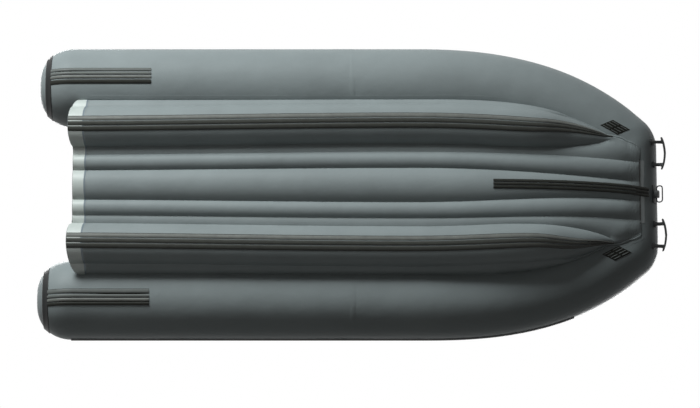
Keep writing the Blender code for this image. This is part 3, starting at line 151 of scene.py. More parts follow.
def surface(name, colour, rough, blotch, blotch_scale, grain_scale, grain, grain_depth, spec,
            dents=None, metal=0.0, stretch=(1, 1, 1), worn=0.0, gathers=None):
    """A painted, coated or moulded surface: blotchy colour, uneven gloss, a fine grain and soft dents."""
    made, tree, shader = new_material(name)
    link = tree.links.new
    where, scaled = object_places(tree, stretch)
    clouds = add_texture(tree, "Noise", scaled, Scale=blotch_scale, Detail=6.0, Roughness=0.6)
    stops = [(place, [min(c * gain, 1) for c in colour] + [1])
             for place, gain in ((0.3, 1 - blotch), (0.7, 1 + blotch))]
    blotches = add_ramp(tree, clouds.outputs["Fac"], stops)
    speck = add_texture(tree, "Noise", scaled, Scale=grain_scale / 6, Detail=3.0, Roughness=0.7)
    tint = tree.nodes.new("ShaderNodeMix")
    tint.data_type, tint.blend_type = "RGBA", "MULTIPLY"
    tint.inputs["Factor"].default_value = 0.12 + worn
    link(blotches, tint.inputs["A"])
    link(speck.outputs["Fac"], tint.inputs["B"])
    link(tint.outputs["Result"], shader.inputs["Base Color"])
    gloss = add_node(tree, "ShaderNodeMapRange", To_Min=rough - 0.06, To_Max=rough + 0.06)
    link(clouds.outputs["Fac"], gloss.inputs["Value"])
    link(gloss.outputs["Result"], shader.inputs["Roughness"])
    fine = add_texture(tree, "Noise", where, Scale=grain_scale, Detail=2.0, Roughness=0.5)
    bump = add_bump(tree, fine.outputs["Fac"], grain, grain_depth)
    under = None
    if dents:
        soft = add_texture(tree, "Noise", scaled, Scale=dents[0], Detail=3.0, Roughness=0.45)
        under = add_bump(tree, soft.outputs["Fac"], 1.0, dents[1]).outputs["Normal"]
    if gathers:
        under = add_gathers(tree, where, under, gathers)
    if under:
        link(under, bump.inputs["Normal"])
    link(bump.outputs["Normal"], shader.inputs["Normal"])
    shader.inputs["Metallic"].default_value = metal
    shader.inputs["Specular IOR Level"].default_value = spec
    made.diffuse_color = (*colour, 1)
    return made


def add_gathers(tree, where, under, places):
    """Fine crosswise gathers in the fabric, which grow between two places along the boat."""
    parts = tree.nodes.new("ShaderNodeSeparateXYZ")
    tree.links.new(where, parts.inputs["Vector"])
    near = add_node(tree, "ShaderNodeMapRange", From_Min=places[0], From_Max=places[1])
    near.interpolation_type = "SMOOTHSTEP"
    tree.links.new(parts.outputs["X"], near.inputs["Value"])
    patchy = add_texture(tree, "Noise", where, Scale=16.0, Detail=2.0)
    wave = add_texture(tree, "Wave", where, Scale=21.0, Distortion=9.0, Detail=3.0, Detail_Scale=1.1)
    height = add_math(tree, "MULTIPLY", wave.outputs["Fac"], near.outputs["Result"])
    height = add_math(tree, "MULTIPLY", height, patchy.outputs["Fac"])
    folds = add_bump(tree, height, 0.8, 0.0014)
    if under:
        tree.links.new(under, folds.inputs["Normal"])
    return folds.outputs["Normal"]


def fabric(name, colour, rough, blotch, blotch_scale, grain_scale, spec, **more):
    return surface(name, colour, rough, blotch, blotch_scale, grain_scale, 0.2, 0.0002, spec, **more)


def rubber(name, colour, rough, blotch, blotch_scale, spec, worn=0.1):
    return surface(name, colour, rough, blotch, blotch_scale, 700, 0.3, 0.0003, spec, worn=worn)


HULL_GREY = (0.232, 0.262, 0.267)
HULL_DENTS = (9.0, 0.003)
GATHERED = (1.545, 1.625)
HULL = fabric("hull_fabric_look", HULL_GREY, 0.48, 0.06, 3.0, 1400, 0.10, dents=HULL_DENTS)
BOTTOM = fabric("bottom_fabric_look", HULL_GREY, 0.48, 0.06, 3.0, 1400, 0.14, dents=HULL_DENTS,
                gathers=GATHERED)
TAPE = fabric("tape_look", (0.190, 0.212, 0.214), 0.42, 0.05, 8.0, 1400, 0.5)
EDGE_TAPE = fabric("edge_tape_look", (0.165, 0.200, 0.225), 0.40, 0.06, 10.0, 1200, 0.5)
BAND = fabric("band_look", (0.46, 0.50, 0.48), 0.42, 0.05, 9.0, 1200, 0.45)
STRAKE = rubber("strake_look", (0.018, 0.019, 0.016), 0.42, 0.18, 14.0, 0.06, worn=0.2)
RIDGE = rubber("ridge_look", (0.052, 0.054, 0.048), 0.36, 0.12, 20.0, 0.12)
# Dark ridge rubber: the keel strip's own colour, and on the skid strips painted shade on the ridge away from
# the key lamp.
KEEL_AND_SHADE_RIDGE = rubber("keel_ridge_look", (0.030, 0.031, 0.027), 0.40, 0.14, 20.0, 0.08)
# A lighter copy of the ridge rubber, laid on the ridge that faces the key lamp: a painted highlight.
PAINTED_LIT_RIDGE = rubber("worn_ridge_look", (0.150, 0.156, 0.146), 0.38, 0.14, 20.0, 0.2)
SKID_RIDGE = surface("skid_ridge_look", (0.125, 0.135, 0.130), 0.42, 0.08, 12.0, 900, 0.3, 0.0003, 0.15)
# A near-black strip along the floor's front edge: painted shade for the shadow gap between the lobes' ends
# and the bow tube.
SEAM_SHADE = surface("seam_shade_look", (0.085, 0.088, 0.085), 0.55, 0.20, 30.0, 900, 0.4, 0.0003, 0.06,
               dents=(60.0, 0.0012))
DECK = surface("deck_look", (0.245, 0.262, 0.264), 0.55, 0.06, 6.0, 500, 0.6, 0.0006, 0.4)
WEB = surface("web_look", (0.40, 0.41, 0.41), 0.6, 0.05, 8.0, 600, 0.4, 0.0004, 0.5)
RUBBER = surface("rubber_look", (0.026, 0.027, 0.027), 0.45, 0.15, 12.0, 800, 0.4, 0.0003, 0.16, worn=0.1)
PLASTIC = surface("plastic_look", (0.022, 0.022, 0.024), 0.40, 0.10, 20.0, 1500, 0.5, 0.0002, 0.14)
STEEL = surface("steel_look", (0.30, 0.30, 0.295), 0.48, 0.06, 30.0, 900, 0.2, 0.0001, 0.5, metal=1.0,
                stretch=(1, 1, 12))


def wood_material():
    """Varnished plywood: long stretched figure, fine pores and a thin coat."""
    made, tree, shader = new_material("wood_look")
    scaled = object_places(tree, (9, 0.9, 9))[1]
    figure = add_texture(tree, "Noise", scaled, Scale=3.0, Detail=8.0, Roughness=0.62, Distortion=1.4)
    stops = ((0.34, (0.15, 0.072, 0.030, 1)), (0.47, (0.33, 0.185, 0.085, 1)),
             (0.56, (0.235, 0.12, 0.052, 1)), (0.68, (0.40, 0.235, 0.11, 1)))
    tree.links.new(add_ramp(tree, figure.outputs["Fac"], stops), shader.inputs["Base Color"])
    pores = add_texture(tree, "Noise", scaled, Scale=60.0, Detail=2.0)
    bump = add_bump(tree, pores.outputs["Fac"], 0.25, 0.0004)
    tree.links.new(bump.outputs["Normal"], shader.inputs["Normal"])
    shader.inputs["Roughness"].default_value = 0.42
    shader.inputs["Coat Weight"].default_value = 0.5
    shader.inputs["Coat Roughness"].default_value = 0.16
    made.diffuse_color = (0.40, 0.25, 0.12, 1)
    return made


WOOD = wood_material()
BY_SLOT = {"hull_fabric": HULL, "strake_rubber": STRAKE, "band_fabric": BAND, "deck_fabric": DECK,
           "web_fabric": WEB, "moulded_rubber": RUBBER, "moulded_plastic": PLASTIC, "steel": STEEL,
           "marine_wood": WOOD}


# Mesh helpers

def add_to_scene(name, data):
    made = bpy.data.objects.new(name, data)
    bpy.context.scene.collection.objects.link(made)
    return made


def piece(name, verts, faces, material, slot, sharp=40, body="hull"):
    """A smooth-shaded piece of the scene that rides on a body."""
    mesh = bpy.data.meshes.new(name)
    mesh.from_pydata([tuple(map(float, v)) for v in verts], [], faces)
    mesh.materials.append(material)
    shape = bmesh.new()
    shape.from_mesh(mesh)
    bmesh.ops.recalc_face_normals(shape, faces=shape.faces)
    shape.to_mesh(mesh)
    shape.free()
    mesh.shade_smooth()
    mesh.set_sharp_from_angle(angle=math.radians(sharp))
    made = add_to_scene(name, mesh)
    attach(made, body)
    return made


def quads(rows, columns, closed=False):
    faces = []
    for i in range(rows - 1):
        for j in range(columns if closed else columns - 1):
            k = (j + 1) % columns
            faces.append((i * columns + j, i * columns + k, (i + 1) * columns + k, (i + 1) * columns + j))
    return faces


def sheet_piece(name, grid, material, slot, sharp=40, closed=False):
    grid = np.asarray(grid, dtype=float)
    rows, columns = grid.shape[:2]
    return piece(name, grid.reshape(-1, 3), quads(rows, columns, closed), material, slot, sharp)


def bar_piece(name, sections, material, slot, sharp=35, body="hull", loop=False):
    """A solid through closed sections."""
    rows, columns = len(sections), len(sections[0])
    verts = [point for section in sections for point in section]
    faces = quads(rows, columns, True)
    last = (rows - 1) * columns
    if loop:
        faces += [(last + j, last + (j + 1) % columns, (j + 1) % columns, j) for j in range(columns)]
    else:
        faces += [tuple(range(columns)), tuple(range(last, last + columns))]
    return piece(name, verts, faces, material, slot, sharp, body)


def mirror(points, side):
    out = np.array(points, dtype=float)
    out[..., 1] *= side
    return out


def span(a, b, count):
    return [a + (b - a) * i / (count - 1) for i in range(count)]


def clamp(value, low=0, high=1):
    return min(max(value, low), high)


def blend(first, second, share):
    return first * (1 - share) + second * share


def turns_round(count):
    return [math.tau * i / count for i in range(count)]


# The tube's course

def corner_width(turned, half):
    """How far the tube reaches from the corner's pivot: a straight mitre rounded off by an arc."""
    straight = PIVOT_GAP + 2 * BOW_R
    edge = half - CORNER_REACH
    if abs(turned) >= CORNER_REACH:
        return straight / math.cos(half - abs(turned))
    arc_radius = straight * (1 - math.tan(edge) / math.tan(half))
    middle = (straight - arc_radius) / math.cos(half)
    return middle * math.cos(turned) + math.sqrt(arc_radius ** 2 - (middle * math.sin(turned)) ** 2)


def plan_course():
    """Places, headings and stretches from the curve's start to the corner's end."""
    places = [(0.0, 0.0, 0.0)]
    x = y = 0.0
    for i in range(CURVE_STEPS):
        for j in range(CURVE_SUBSTEPS):
            walked = (i + (j + 0.5) / CURVE_SUBSTEPS) / CURVE_STEPS
            heading = CURVE_TURN * walked ** CURVE_POWER
            x += math.cos(heading) * CURVE_LENGTH / CURVE_STEPS / CURVE_SUBSTEPS
            y += math.sin(heading) * CURVE_LENGTH / CURVE_STEPS / CURVE_SUBSTEPS
        places.append((x, y, CURVE_TURN * ((i + 1) / CURVE_STEPS) ** CURVE_POWER))
    heading = places[-1][2]
    inner = PIVOT_GAP + BOW_R
    half = (math.pi / 2 - heading) / 2
    pivot_x = x - inner * math.sin(heading)
    start = FRONT_X - BOW_R - inner - pivot_x
    course = [(start + px, SIDE_OFFSET - py, turn, 0.0) for px, py, turn in places]
    for turned in map(math.radians, CORNER_DEGREES):
        turn = heading + half + turned
        stretch = (corner_width(turned, half) - inner - BOW_R) / 2
        out = inner + stretch
        course.append((start + pivot_x + out * math.sin(turn),
                       SIDE_OFFSET * FRONT_HALF_SHARE + out * math.cos(turn), turn, stretch))
    return course


COURSE = plan_course()
CURVE_X = COURSE[0][0]
MIDDLE_X = FRONT_X - BOW_R
FRONT_HEADING = COURSE[-1][2]


def rise_at(x):
    return BOW_RISE * clamp((x - CURVE_X) / (MIDDLE_X - CURVE_X)) ** RISE_POWER


class Ring:
    """One station of the tube: its centre, radius, widening and the angle where the bottom meets it."""

    def __init__(self, x, y, heading, side=1, stretch=0.0):
        share = min(heading / FRONT_HEADING, 1)
        self.radius = TUBE_R + (BOW_R - TUBE_R) * min(share / TAPER_END_SHARE, 1)
        self.widening = 1 + stretch / self.radius
        self.centre = np.array((x, side * y, TUBE_Z + rise_at(x)))
        self.inboard = np.array((-math.sin(heading), -side * math.cos(heading), 0))
        self.low = LOW_SIDE + (LOW_BOW - LOW_SIDE) * float(np.interp(share, *zip(*CONTACT_SHARES)))

    def direction(self, angle):
        return self.widening * math.sin(angle) * self.inboard - math.cos(angle) * UP

    def point(self, angle, out=0.0):
        return self.centre + (self.radius + out) * self.direction(angle)


def side_ring(x, side=1):
    return Ring(x, SIDE_OFFSET, 0.0, side)


def curve_rings(side=1):
    return [Ring(x, y, heading, side, stretch) for x, y, heading, stretch in COURSE]


def course_rings(first_x, side, steps):
    """Rings from a place on the straight tube round to the middle of the bow."""
    return [side_ring(x, side) for x in span(first_x, CURVE_X, steps)[:-1]] + curve_rings(side)


def front_rings(reach, count):
    """Rings across the straight front, from port to starboard."""
    return [Ring(MIDDLE_X, y, math.pi / 2) for y in span(reach, -reach, count)]


def dome_x(share):
    return STERN_X + (share - DOME_TIP) * DOME_LENGTH


def dome_radius(share):
    return (1 - (1 - min(share, 1)) ** 2) ** (1 / DOME_BLUNT) * TUBE_R


def tube_ring_at(x, side):
    """A ring of the side tube anywhere from its blunt end forward."""
    ring = side_ring(x, side)
    ring.radius = dome_radius((x - STERN_X) / DOME_LENGTH + DOME_TIP)
    return ring


def unevenness(x, angle, seed):
    """Slow unevenness of a blown-up skin, a fraction of a millimetre."""
    slow = 0.0005 * math.sin(2.1 * x + 3 * angle + seed)
    return slow + 0.0003 * math.sin(7.3 * x - 2 * angle + 2 * seed)


def tube_row(ring, place, seed):
    return [ring.point(a, unevenness(place, a, seed) - SINK) for a in turns_round(ROUND_STEPS)]


def make_tubes():
    for word, side in SIDES:
        rings = [tube_ring_at(dome_x(share), side) for share in DOME_SHARES]
        rings += [side_ring(x, side) for x in span(STERN_X + DOME_LENGTH * 1.1, SEAM_X, 24)]
        grid = [tube_row(ring, ring.centre[0], side) for ring in rings]
        verts = [p for row in grid for p in row] + [rings[0].centre + np.array((-0.0002, 0, 0))]
        tip = len(verts) - 1
        faces = quads(len(grid), ROUND_STEPS, True)
        faces += [(tip, (j + 1) % ROUND_STEPS, j) for j in range(ROUND_STEPS)]
        tube = piece("tube_skin_" + word, verts, faces, HULL, "hull_fabric")
        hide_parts("tube_" + word)
    rings = course_rings(SEAM_X, 1, 10) + front_rings(0.17, 10) + course_rings(SEAM_X, -1, 10)[::-1]
    grid = [tube_row(ring, ring.centre[0] + 3 * ring.centre[1], 1) for ring in rings]
    tube = sheet_piece("tube_skin_bow", grid, HULL, "hull_fabric", closed=True)
    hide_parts("tube_bow")


# The bottom, as rows of arcs between folds

def smooth_blend(x, stops):
    if x <= stops[0][0]:
        return stops[0][1]
    for (x0, v0), (x1, v1) in zip(stops, stops[1:]):
        if x <= x1:
            t = (x - x0) / (x1 - x0)
            return v0 + (v1 - v0) * t * t * (3 - 2 * t)
    return stops[-1][1]


LAST_RING = Ring(MIDDLE_X, 0.0, math.pi / 2)
FRONT_EDGE = LAST_RING.point(LAST_RING.low, GAP + SKIN)
TIP_X = FRONT_EDGE[0] - TIP_SETBACK
FLOOR_HALF = SIDE_OFFSET - TUBE_R * math.sin(LOW_SIDE)


def floor_line(x, front, shares):
    places = (STERN_X, CURVE_X, front)
    return smooth_blend(x, [(at, share * FLOOR_HALF) for at, share in zip(places, shares)])


def keel_offset(x):
    return floor_line(x, TIP_X, KEEL_SHARES)


def rib_offset(x):
    return floor_line(x, FRONT_EDGE[0], RIB_SHARES)


def rib_line(x, contact_y):
    return min(rib_offset(x), contact_y - RIB_ROOM)


def centre_offset(x):
    return floor_line(x, FRONT_EDGE[0], CENTRE_SHARES)


def sponson_share(x):
    return (1 - clamp((x - TIP_X + SPONSON_FADE) / SPONSON_FADE) ** 2) ** SPONSON_POWER


def sponson_half(x):
    return max(SPONSON_HALF * sponson_share(x), SPONSON_LEAST)


def base_height(x):
    share = clamp((x - FRONT_EDGE[0] + BASE_FADE) / BASE_FADE)
    return CREASE_Z + (FRONT_EDGE[2] - CREASE_Z) * share ** BASE_POWER


def fade(x):
    return math.sqrt(clamp((FRONT_EDGE[0] - x) / FRONT_FADE))


def arc(a, b, sag, count):
    """Points of an arc between two points of a section, which sags down, or up if the sag is negative."""
    a, b = np.array(a), np.array(b)
    chord = b - a
    length = np.linalg.norm(chord)
    shares = [i / count for i in range(count + 1)]
    if abs(sag) < 0.0001:
        return [a + chord * s for s in shares]
    down = np.array((chord[1], -chord[0])) / length
    if down[1] > 0:
        down = -down
    if sag < 0:
        down, sag = -down, -sag
    radius = (length ** 2 / 4 + sag ** 2) / (2 * sag)
    half = math.asin(min(length / 2 / radius, 1))
    if sag > radius:
        half = math.pi - half
    middle = (a + b) / 2 + down * (sag - radius)
    across = chord / length
    turns = [half * (2 * s - 1) for s in shares]
    return [middle + radius * (math.sin(turn) * across + math.cos(turn) * down) for turn in turns]


def chain(spans):
    points = []
    for a, b, sag, count in spans:
        points += arc(a, b, sag, count)[0 if not points else 1:]
    return points


def side_lines(x, contact):
    """The folds on both sides of a sponson, as offset and height."""
    base = base_height(x)
    inner, outer = keel_offset(x) - sponson_half(x), keel_offset(x) + sponson_half(x)
    room = contact[1] - CONTACT_ROOM
    near = clamp((room - outer) / CONTACT_NEAR)
    outer = min(outer, room)
    inner = min(inner, outer - CONTACT_ROOM)
    outer_height = base + (contact[2] - base) * (1 - near) * OUTER_RISE_SHARE
    inner_height = base + (outer_height - base) * (1 - sponson_share(x)) * INNER_RISE_SHARE
    return (outer, outer_height), (inner, inner_height)


def side_section(x, contact):
    outer, inner = side_lines(x, contact)
    depth = SPONSON_DEPTH * min(sponson_share(x), (outer[0] - inner[0]) / 2 / SPONSON_HALF) * fade(x)
    bulge = min(SIDE_BULGE, SIDE_BULGE_SHARE * math.dist((contact[1], contact[2]), outer))
    strip = STRIP_BULGE_BOW + (STRIP_BULGE - STRIP_BULGE_BOW) * sponson_share(x)
    return chain([((contact[1], contact[2]), outer, bulge * fade(x), SIDE_N),
                  (outer, inner, depth, SPONSON_N),
                  (inner, (rib_line(x, contact[1]), base_height(x)), strip * fade(x), STRIP_N)])


def centre_section(x, contact):
    rib, centre, base = rib_line(x, contact[1]), centre_offset(x), base_height(x)
    return chain([((rib, base), (centre, base), RIB_BULGE * fade(x), RIB_N),
                  ((centre, base), (-centre, base), CENTRE_BULGE_SHARE * centre * fade(x), CENTRE_N),
                  ((-centre, base), (-rib, base), RIB_BULGE * fade(x), RIB_N)])


def stern_edge_x(y, edge):
    """The floor's stern edge, furthest aft at the keel lines and forward beside the tubes."""
    keel = keel_offset(STERN_X)
    offset = abs(y) - keel
    wide = edge - keel if offset > 0 else SPONSON_HALF
    least = 0 if offset > 0 else MIDDLE_OVERRUN
    share = min(abs(offset) / wide, 1)
    return FLOOR_EDGE_X - STERN_OVERRUN * (least + (1 - least) * math.sqrt(1 - share ** 2))


def bottom_stations():
    """Contacts of the bottom with the tube, from the floor's stern edge to the front."""
    rings = [side_ring(FLOOR_EDGE_X)] + course_rings(FLOOR_EDGE_X + BAND_WIDTH, 1, 40)
    turn = LAST_RING.low - LOW_SIDE
    return [ring.point(ring.low, GAP + SKIN * (1 - (LAST_RING.low - ring.low) / turn)) for ring in rings]


STATIONS = bottom_stations()


def bottom_grid(section):
    grid = []
    for number, contact in enumerate(STATIONS):
        row = [np.array((contact[0], y, z)) for y, z in section(contact[0], contact)]
        if number == 0:
            for point in row:
                point[0] = stern_edge_x(point[1], contact[1])
        grid.append(row)
    return np.array(grid)


def fold_puckers(grid, columns, seed):
    """Short gathers that run out of a fold and die away within a few columns."""
    out = grid.copy()
    for column in columns:
        for near in (-4, -3, -2, -1, 1, 2, 3, 4):
            j = column + near
            if not 0 < j < grid.shape[1] - 1:
                continue
            for i in range(2, grid.shape[0] - 1):
                x = grid[i, j, 0]
                wave = math.sin(41 * x + seed) * math.sin(17.3 * x + 2 * seed)
                out[i, j, 2] += PUCKER_HEIGHT * math.exp(-abs(near) / PUCKER_REACH) * wave * fade(x)
    return out


SIDE_GRID = fold_puckers(bottom_grid(side_section), (SIDE_N, SIDE_N + SPONSON_N), 1.0)
CENTRE_GRID = fold_puckers(bottom_grid(centre_section), (RIB_N, RIB_N + CENTRE_N), 2.0)


def make_bottom():
    for word, side in SIDES:
        skin = sheet_piece("bottom_skin_" + word, mirror(SIDE_GRID, side), BOTTOM, "hull_fabric", 50)
        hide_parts("bottom_panel_" + word)
    skin = sheet_piece("bottom_skin_centre", CENTRE_GRID, BOTTOM, "hull_fabric", 50)
    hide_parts("bottom_panel_centre")


# Strips laid on the skins

THREE_RIDGES = ((0.03, 0.30), (0.365, 0.635), (0.70, 0.97))
FOUR_RIDGES = ((0.02, 0.20), (0.25, 0.43), (0.48, 0.66), (0.74, 0.98))
STRIP_FOOT, SHOULDER_SHARE = -0.0006, 0.72
STRAKE_SETBACK, STRAKE_COLUMNS = 0.012, 5
KEEL_STRIP_LENGTH, KEEL_STRIP_HALF, KEEL_STRIP_CLIMB = 0.86, 0.028, 0.062
SKID_START_SHARE, SKID_LENGTH, SKID_HALF, SKID_TURN = 0.36, 0.585, 0.048, math.radians(-5.5)
CAP_LOW, CAP_HIGH, CAP_SLOPE_STEP = 0.215, 0.385, 0.004
CAP_SHAPE = ((0.0, -0.001), (0.0, 0.0030), (0.05, 0.0046), (0.14, 0.0058), (0.24, 0.0052), (0.32, 0.0036),
             (0.60, 0.0030), (0.88, 0.0032), (0.95, 0.0036), (0.985, 0.0026), (1.0, -0.001))
RUB_HALF, RUB_TURN, RUB_SETBACK = 0.0225, math.radians(-92), 0.55
RUB_SHAPE = ((0.0, -0.0008), (0.0, 0.0022), (0.06, 0.0036), (0.20, 0.0046), (0.28, 0.0030), (0.34, 0.0052),
             (0.42, 0.0060), (0.58, 0.0060), (0.66, 0.0052), (0.72, 0.0030), (0.80, 0.0046), (0.94, 0.0036),
             (1.0, 0.0022), (1.0, -0.0008))
PATCH_LENGTH, PATCH_WIDTH, PATCH_SLANT, PATCH_TURN = 0.176, 0.084, 0.016, math.radians(6)
PATCH_SETBACK, PATCH_OUT, PATCH_STEPS = 0.255, 0.051, 24
RIDGE_PLACES, RIDGE_HALF = (0.12, 0.36, 0.60, 0.84), 0.03
RIDGE_SPANS = (("aft", (0.06, 0.45)), ("fore", (0.55, 0.94)))
FRONT_WELD_HALF, FRONT_WELD_AFT, FRONT_WELD_FORE = 0.192, 0.006, 0.002
SEAM_TAPE_SHAPE = ((-0.016, -0.0003), (-0.014, 0.0001), (0, 0.0002), (0.014, 0.0001), (0.016, -0.0003))
BAND_BACK, BAND_BACK_CREST, BAND_CREST_Z = 0.007, 0.020, 0.12
BAND_INSIDE, BAND_LIFT, BAND_LIFT_MIDDLE = 0.0004, 0.0013, 0.0015


def grid_outward(grid):
    """Unit normals of a grid, pointing down."""
    normal = np.cross(np.gradient(grid, axis=0), np.gradient(grid, axis=1))
    normal /= np.maximum(np.linalg.norm(normal, axis=2)[..., None], 1e-9)
    return -normal if normal[..., 2].mean() > 0 else normal


def ribbon(name, path, normals, material, profile, slot):
    """A strip laid along a path of rows of points: profile is (share across, height) on the outside."""
    sections = []
    for row, outs in zip(path, normals):
        count = len(row) - 1
        section = []
        for share, height in profile:
            j = min(int(share * count), count - 1)
            t = share * count - j
            out = blend(outs[j], outs[j + 1], t)
            section.append(blend(row[j], row[j + 1], t) + out / np.linalg.norm(out) * height)
        sections.append(section)
    return bar_piece(name, sections, material, slot, 30)


def ridged_strip(name, path, outs, node, base, crest, looks, spans=THREE_RIDGES):
    """A rubber strip: a flat base with bevelled edges, and a rounded ridge over each span across it."""
    flat = ((0, STRIP_FOOT), (0, base * 0.7), (0.012, base), (0.988, base), (1, base * 0.7), (1, STRIP_FOOT))
    low = ribbon(name + "_base", path, outs, STRAKE, flat, "strake_rubber")
    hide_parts(node)
    shoulder = base + (crest - base) * SHOULDER_SHARE
    for k, ((a, b), look) in enumerate(zip(spans, looks)):
        step = 0.16 * (b - a)
        profile = ((a, base * 0.8), (a + step, shoulder), (a + 2 * step, crest), (b - 2 * step, crest),
                   (b - step, shoulder), (b, base * 0.8))
        ribbon("%s_ridge_%d" % (name, k), path, outs, look, profile, "strake_rubber")


def row_at(row, ways, ys):
    """The points and normals of a crosswise row at some offsets from the middle plane."""
    order = np.argsort(row[:, 1])
    known = row[order, 1]
    ys = np.clip(ys, known[0], known[-1])
    return [np.stack([np.interp(ys, known, values[order, k]) for k in range(3)], axis=1)
            for values in (row, ways)]


def ring_row(ring, angles, out):
    """Points on a ring of the tube, and the outward directions there."""
    return [ring.point(a, out) for a in angles], [ring.direction(a) for a in angles]


def make_strakes():
    """The ridged strips under the sponsons, on smoothed courses that narrow to the tips."""
    normals = grid_outward(SIDE_GRID)
    middle = SIDE_N + SPONSON_N // 2
    rows = [i for i, contact in enumerate(STATIONS) if contact[0] < TIP_X - STRAKE_SETBACK]
    centres = SIDE_GRID[rows, middle, 1]
    outer, inner = (SIDE_GRID[rows, middle + k, 1] for k in (-STRAKE_COLUMNS, STRAKE_COLUMNS))
    halves = abs(outer - inner) / 2
    for _ in range(10):
        for line in (centres, halves):
            line[1:-1] = (line[:-2] + 2 * line[1:-1] + line[2:]) / 4
    inside = slice(SIDE_N + 3, SIDE_N + SPONSON_N - 2)
    samples = [row_at(SIDE_GRID[i, inside], normals[i, inside], centre + half * np.linspace(1, -1, 11))
               for i, centre, half in zip(rows, centres, halves)]
    for word, side in SIDES:
        path = [mirror(spots, side) for spots, _ in samples]
        outs = [mirror(ways, side) for _, ways in samples]
        # On both sides the ridge toward -Y, where the key lamp is, takes the lighter copy: a painted
        # highlight.
        looks = (RIDGE, RIDGE, PAINTED_LIT_RIDGE)[::side]
        ridged_strip("strake_rubber_" + word, path, outs, "sponson_strake_" + word, 0.0028, 0.0053, looks)


def make_keel_strip():
    """The ridged strip along the middle of the bow, which climbs onto the tube."""
    normals = grid_outward(CENTRE_GRID)
    xs = CENTRE_GRID[:, 0, 0]
    ys = KEEL_STRIP_HALF * np.linspace(1, -1, 9)
    samples = []
    for x in span(FRONT_EDGE[0] - KEEL_STRIP_LENGTH, FRONT_EDGE[0] - 0.001, 60):
        i = clamp(int(np.searchsorted(xs, x)) - 1, 0, len(xs) - 2)
        t = (x - xs[i]) / (xs[i + 1] - xs[i])
        row, ways = (blend(grid[i], grid[i + 1], t) for grid in (CENTRE_GRID, normals))
        samples.append(row_at(row, ways, ys))
    for share in span(0.12, 1.0, 10):
        angle = LAST_RING.low - share * KEEL_STRIP_CLIMB / LAST_RING.radius
        spot = LAST_RING.point(angle, 0.0022 * (1 - share) + 0.0006)
        spots = [np.array((spot[0], y, spot[2])) for y in ys]
        samples.append((spots, [LAST_RING.direction(angle)] * len(ys)))
    rows, outs = zip(*samples)
    ridged_strip("keel_strip_rubber", rows, outs, "keel_strip", 0.0022, 0.0056, (KEEL_AND_SHADE_RIDGE,) * 3)


def make_skid_strips():
    """Ridged strips under the tubes' stern ends, which keep their width where the tube narrows."""
    start = dome_x(SKID_START_SHARE)
    for word, side in SIDES:
        samples = []
        for x in span(start, start + SKID_LENGTH, 40):
            ring = tube_ring_at(x, side)
            angles = [math.asin(math.sin(SKID_TURN + SKID_HALF / TUBE_R * share) * TUBE_R / ring.radius)
                      for share in span(-1, 1, 13)]
            samples.append(ring_row(ring, angles, -SINK))
        rows, outs = zip(*samples)
        # On both skids the ridge at +Y takes the dark rubber, painted shade away from the key lamp, and the
        # ridge next to it the lighter copy, a painted highlight.
        looks = (KEEL_AND_SHADE_RIDGE, PAINTED_LIT_RIDGE, SKID_RIDGE, SKID_RIDGE)[::side]
        ridged_strip("skid_rubber_" + word, rows, outs, "skid_strip_" + word, 0.0034, 0.0062, looks,
                     FOUR_RIDGES)


def make_stern_caps():
    """A moulded rubber ring on each blunt tube end, thicker at its outer rim."""
    for word, side in SIDES:
        sections = []
        for angle in turns_round(96):
            section = []
            for share, lift in CAP_SHAPE:
                at = CAP_LOW + (CAP_HIGH - CAP_LOW) * share
                widening = dome_radius(at + CAP_SLOPE_STEP) - dome_radius(at - CAP_SLOPE_STEP)
                slope = math.atan2(widening, 2 * CAP_SLOPE_STEP * DOME_LENGTH)
                spot = tube_ring_at(dome_x(at), side).point(angle, lift * math.cos(slope) - SINK)
                section.append(spot - np.array((lift * math.sin(slope), 0, 0)))
            sections.append(section)
        cap = bar_piece("stern_cap_rubber_" + word, sections, RUBBER, "moulded_rubber", 30, loop=True)
        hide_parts("stern_cap_" + word)


def make_rub_strakes():
    """The edges of the fender strips along the tubes' outsides."""
    reach = RUB_HALF / TUBE_R
    angles = span(RUB_TURN - reach, RUB_TURN + reach, 9)
    for word, side in SIDES:
        rings = [side_ring(x, side) for x in span(dome_x(1.0), CURVE_X, 24)[:-1]]
        rings += [ring for ring in curve_rings(side) if ring.centre[0] < FRONT_X - RUB_SETBACK]
        rows, outs = zip(*(ring_row(ring, angles, -SINK * 0.5) for ring in rings))
        strake = ribbon("rub_strake_rubber_" + word, rows, outs, RUBBER, RUB_SHAPE, "strake_rubber")
        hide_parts("rub_strake_" + word)


def mesh_tree(name):
    """A piece's mesh, ready for rays."""
    mesh = bpy.data.objects[name].data
    places = [v.co.copy() for v in mesh.vertices]
    return BVHTree.FromPolygons(places, [tuple(p.vertices) for p in mesh.polygons])


def cast_up(tree, x, y):
    """Where a ray straight up from below meets a mesh, if it does, and the normal there that points down."""
    spot, normal = tree.ray_cast(Vector((x, y, BELOW)), RISING)[:2]
    return spot and (spot, normal if normal.z < 0 else -normal)


def patch_block(name, spot_at, spans, foot, top, material):
    """A slab of a wear patch between shares of its two sides, its rim lower than its top."""
    first, second = (np.linspace(a, b, max(int(PATCH_STEPS * (b - a)), 2) + 1) for a, b in spans)
    rows, columns = len(first), len(second)
    verts = []
    for i, a in enumerate(first):
        for j, b in enumerate(second):
            inner = 0 < i < rows - 1 and 0 < j < columns - 1
            verts.append(spot_at(a, b, top if inner else top * SHOULDER_SHARE))
    verts += [spot_at(a, b, foot) for a in first for b in second]
    under = rows * columns
    border = list(range(columns)) + [i * columns + columns - 1 for i in range(1, rows)]
    border += [under - 1 - j for j in range(1, columns)] + [i * columns for i in range(rows - 2, 0, -1)]
    walls = [(a, b, under + b, under + a) for a, b in zip(border, border[1:] + border[:1])]
    return piece(name, verts, quads(rows, columns) + walls, material, "strake_rubber", 25)


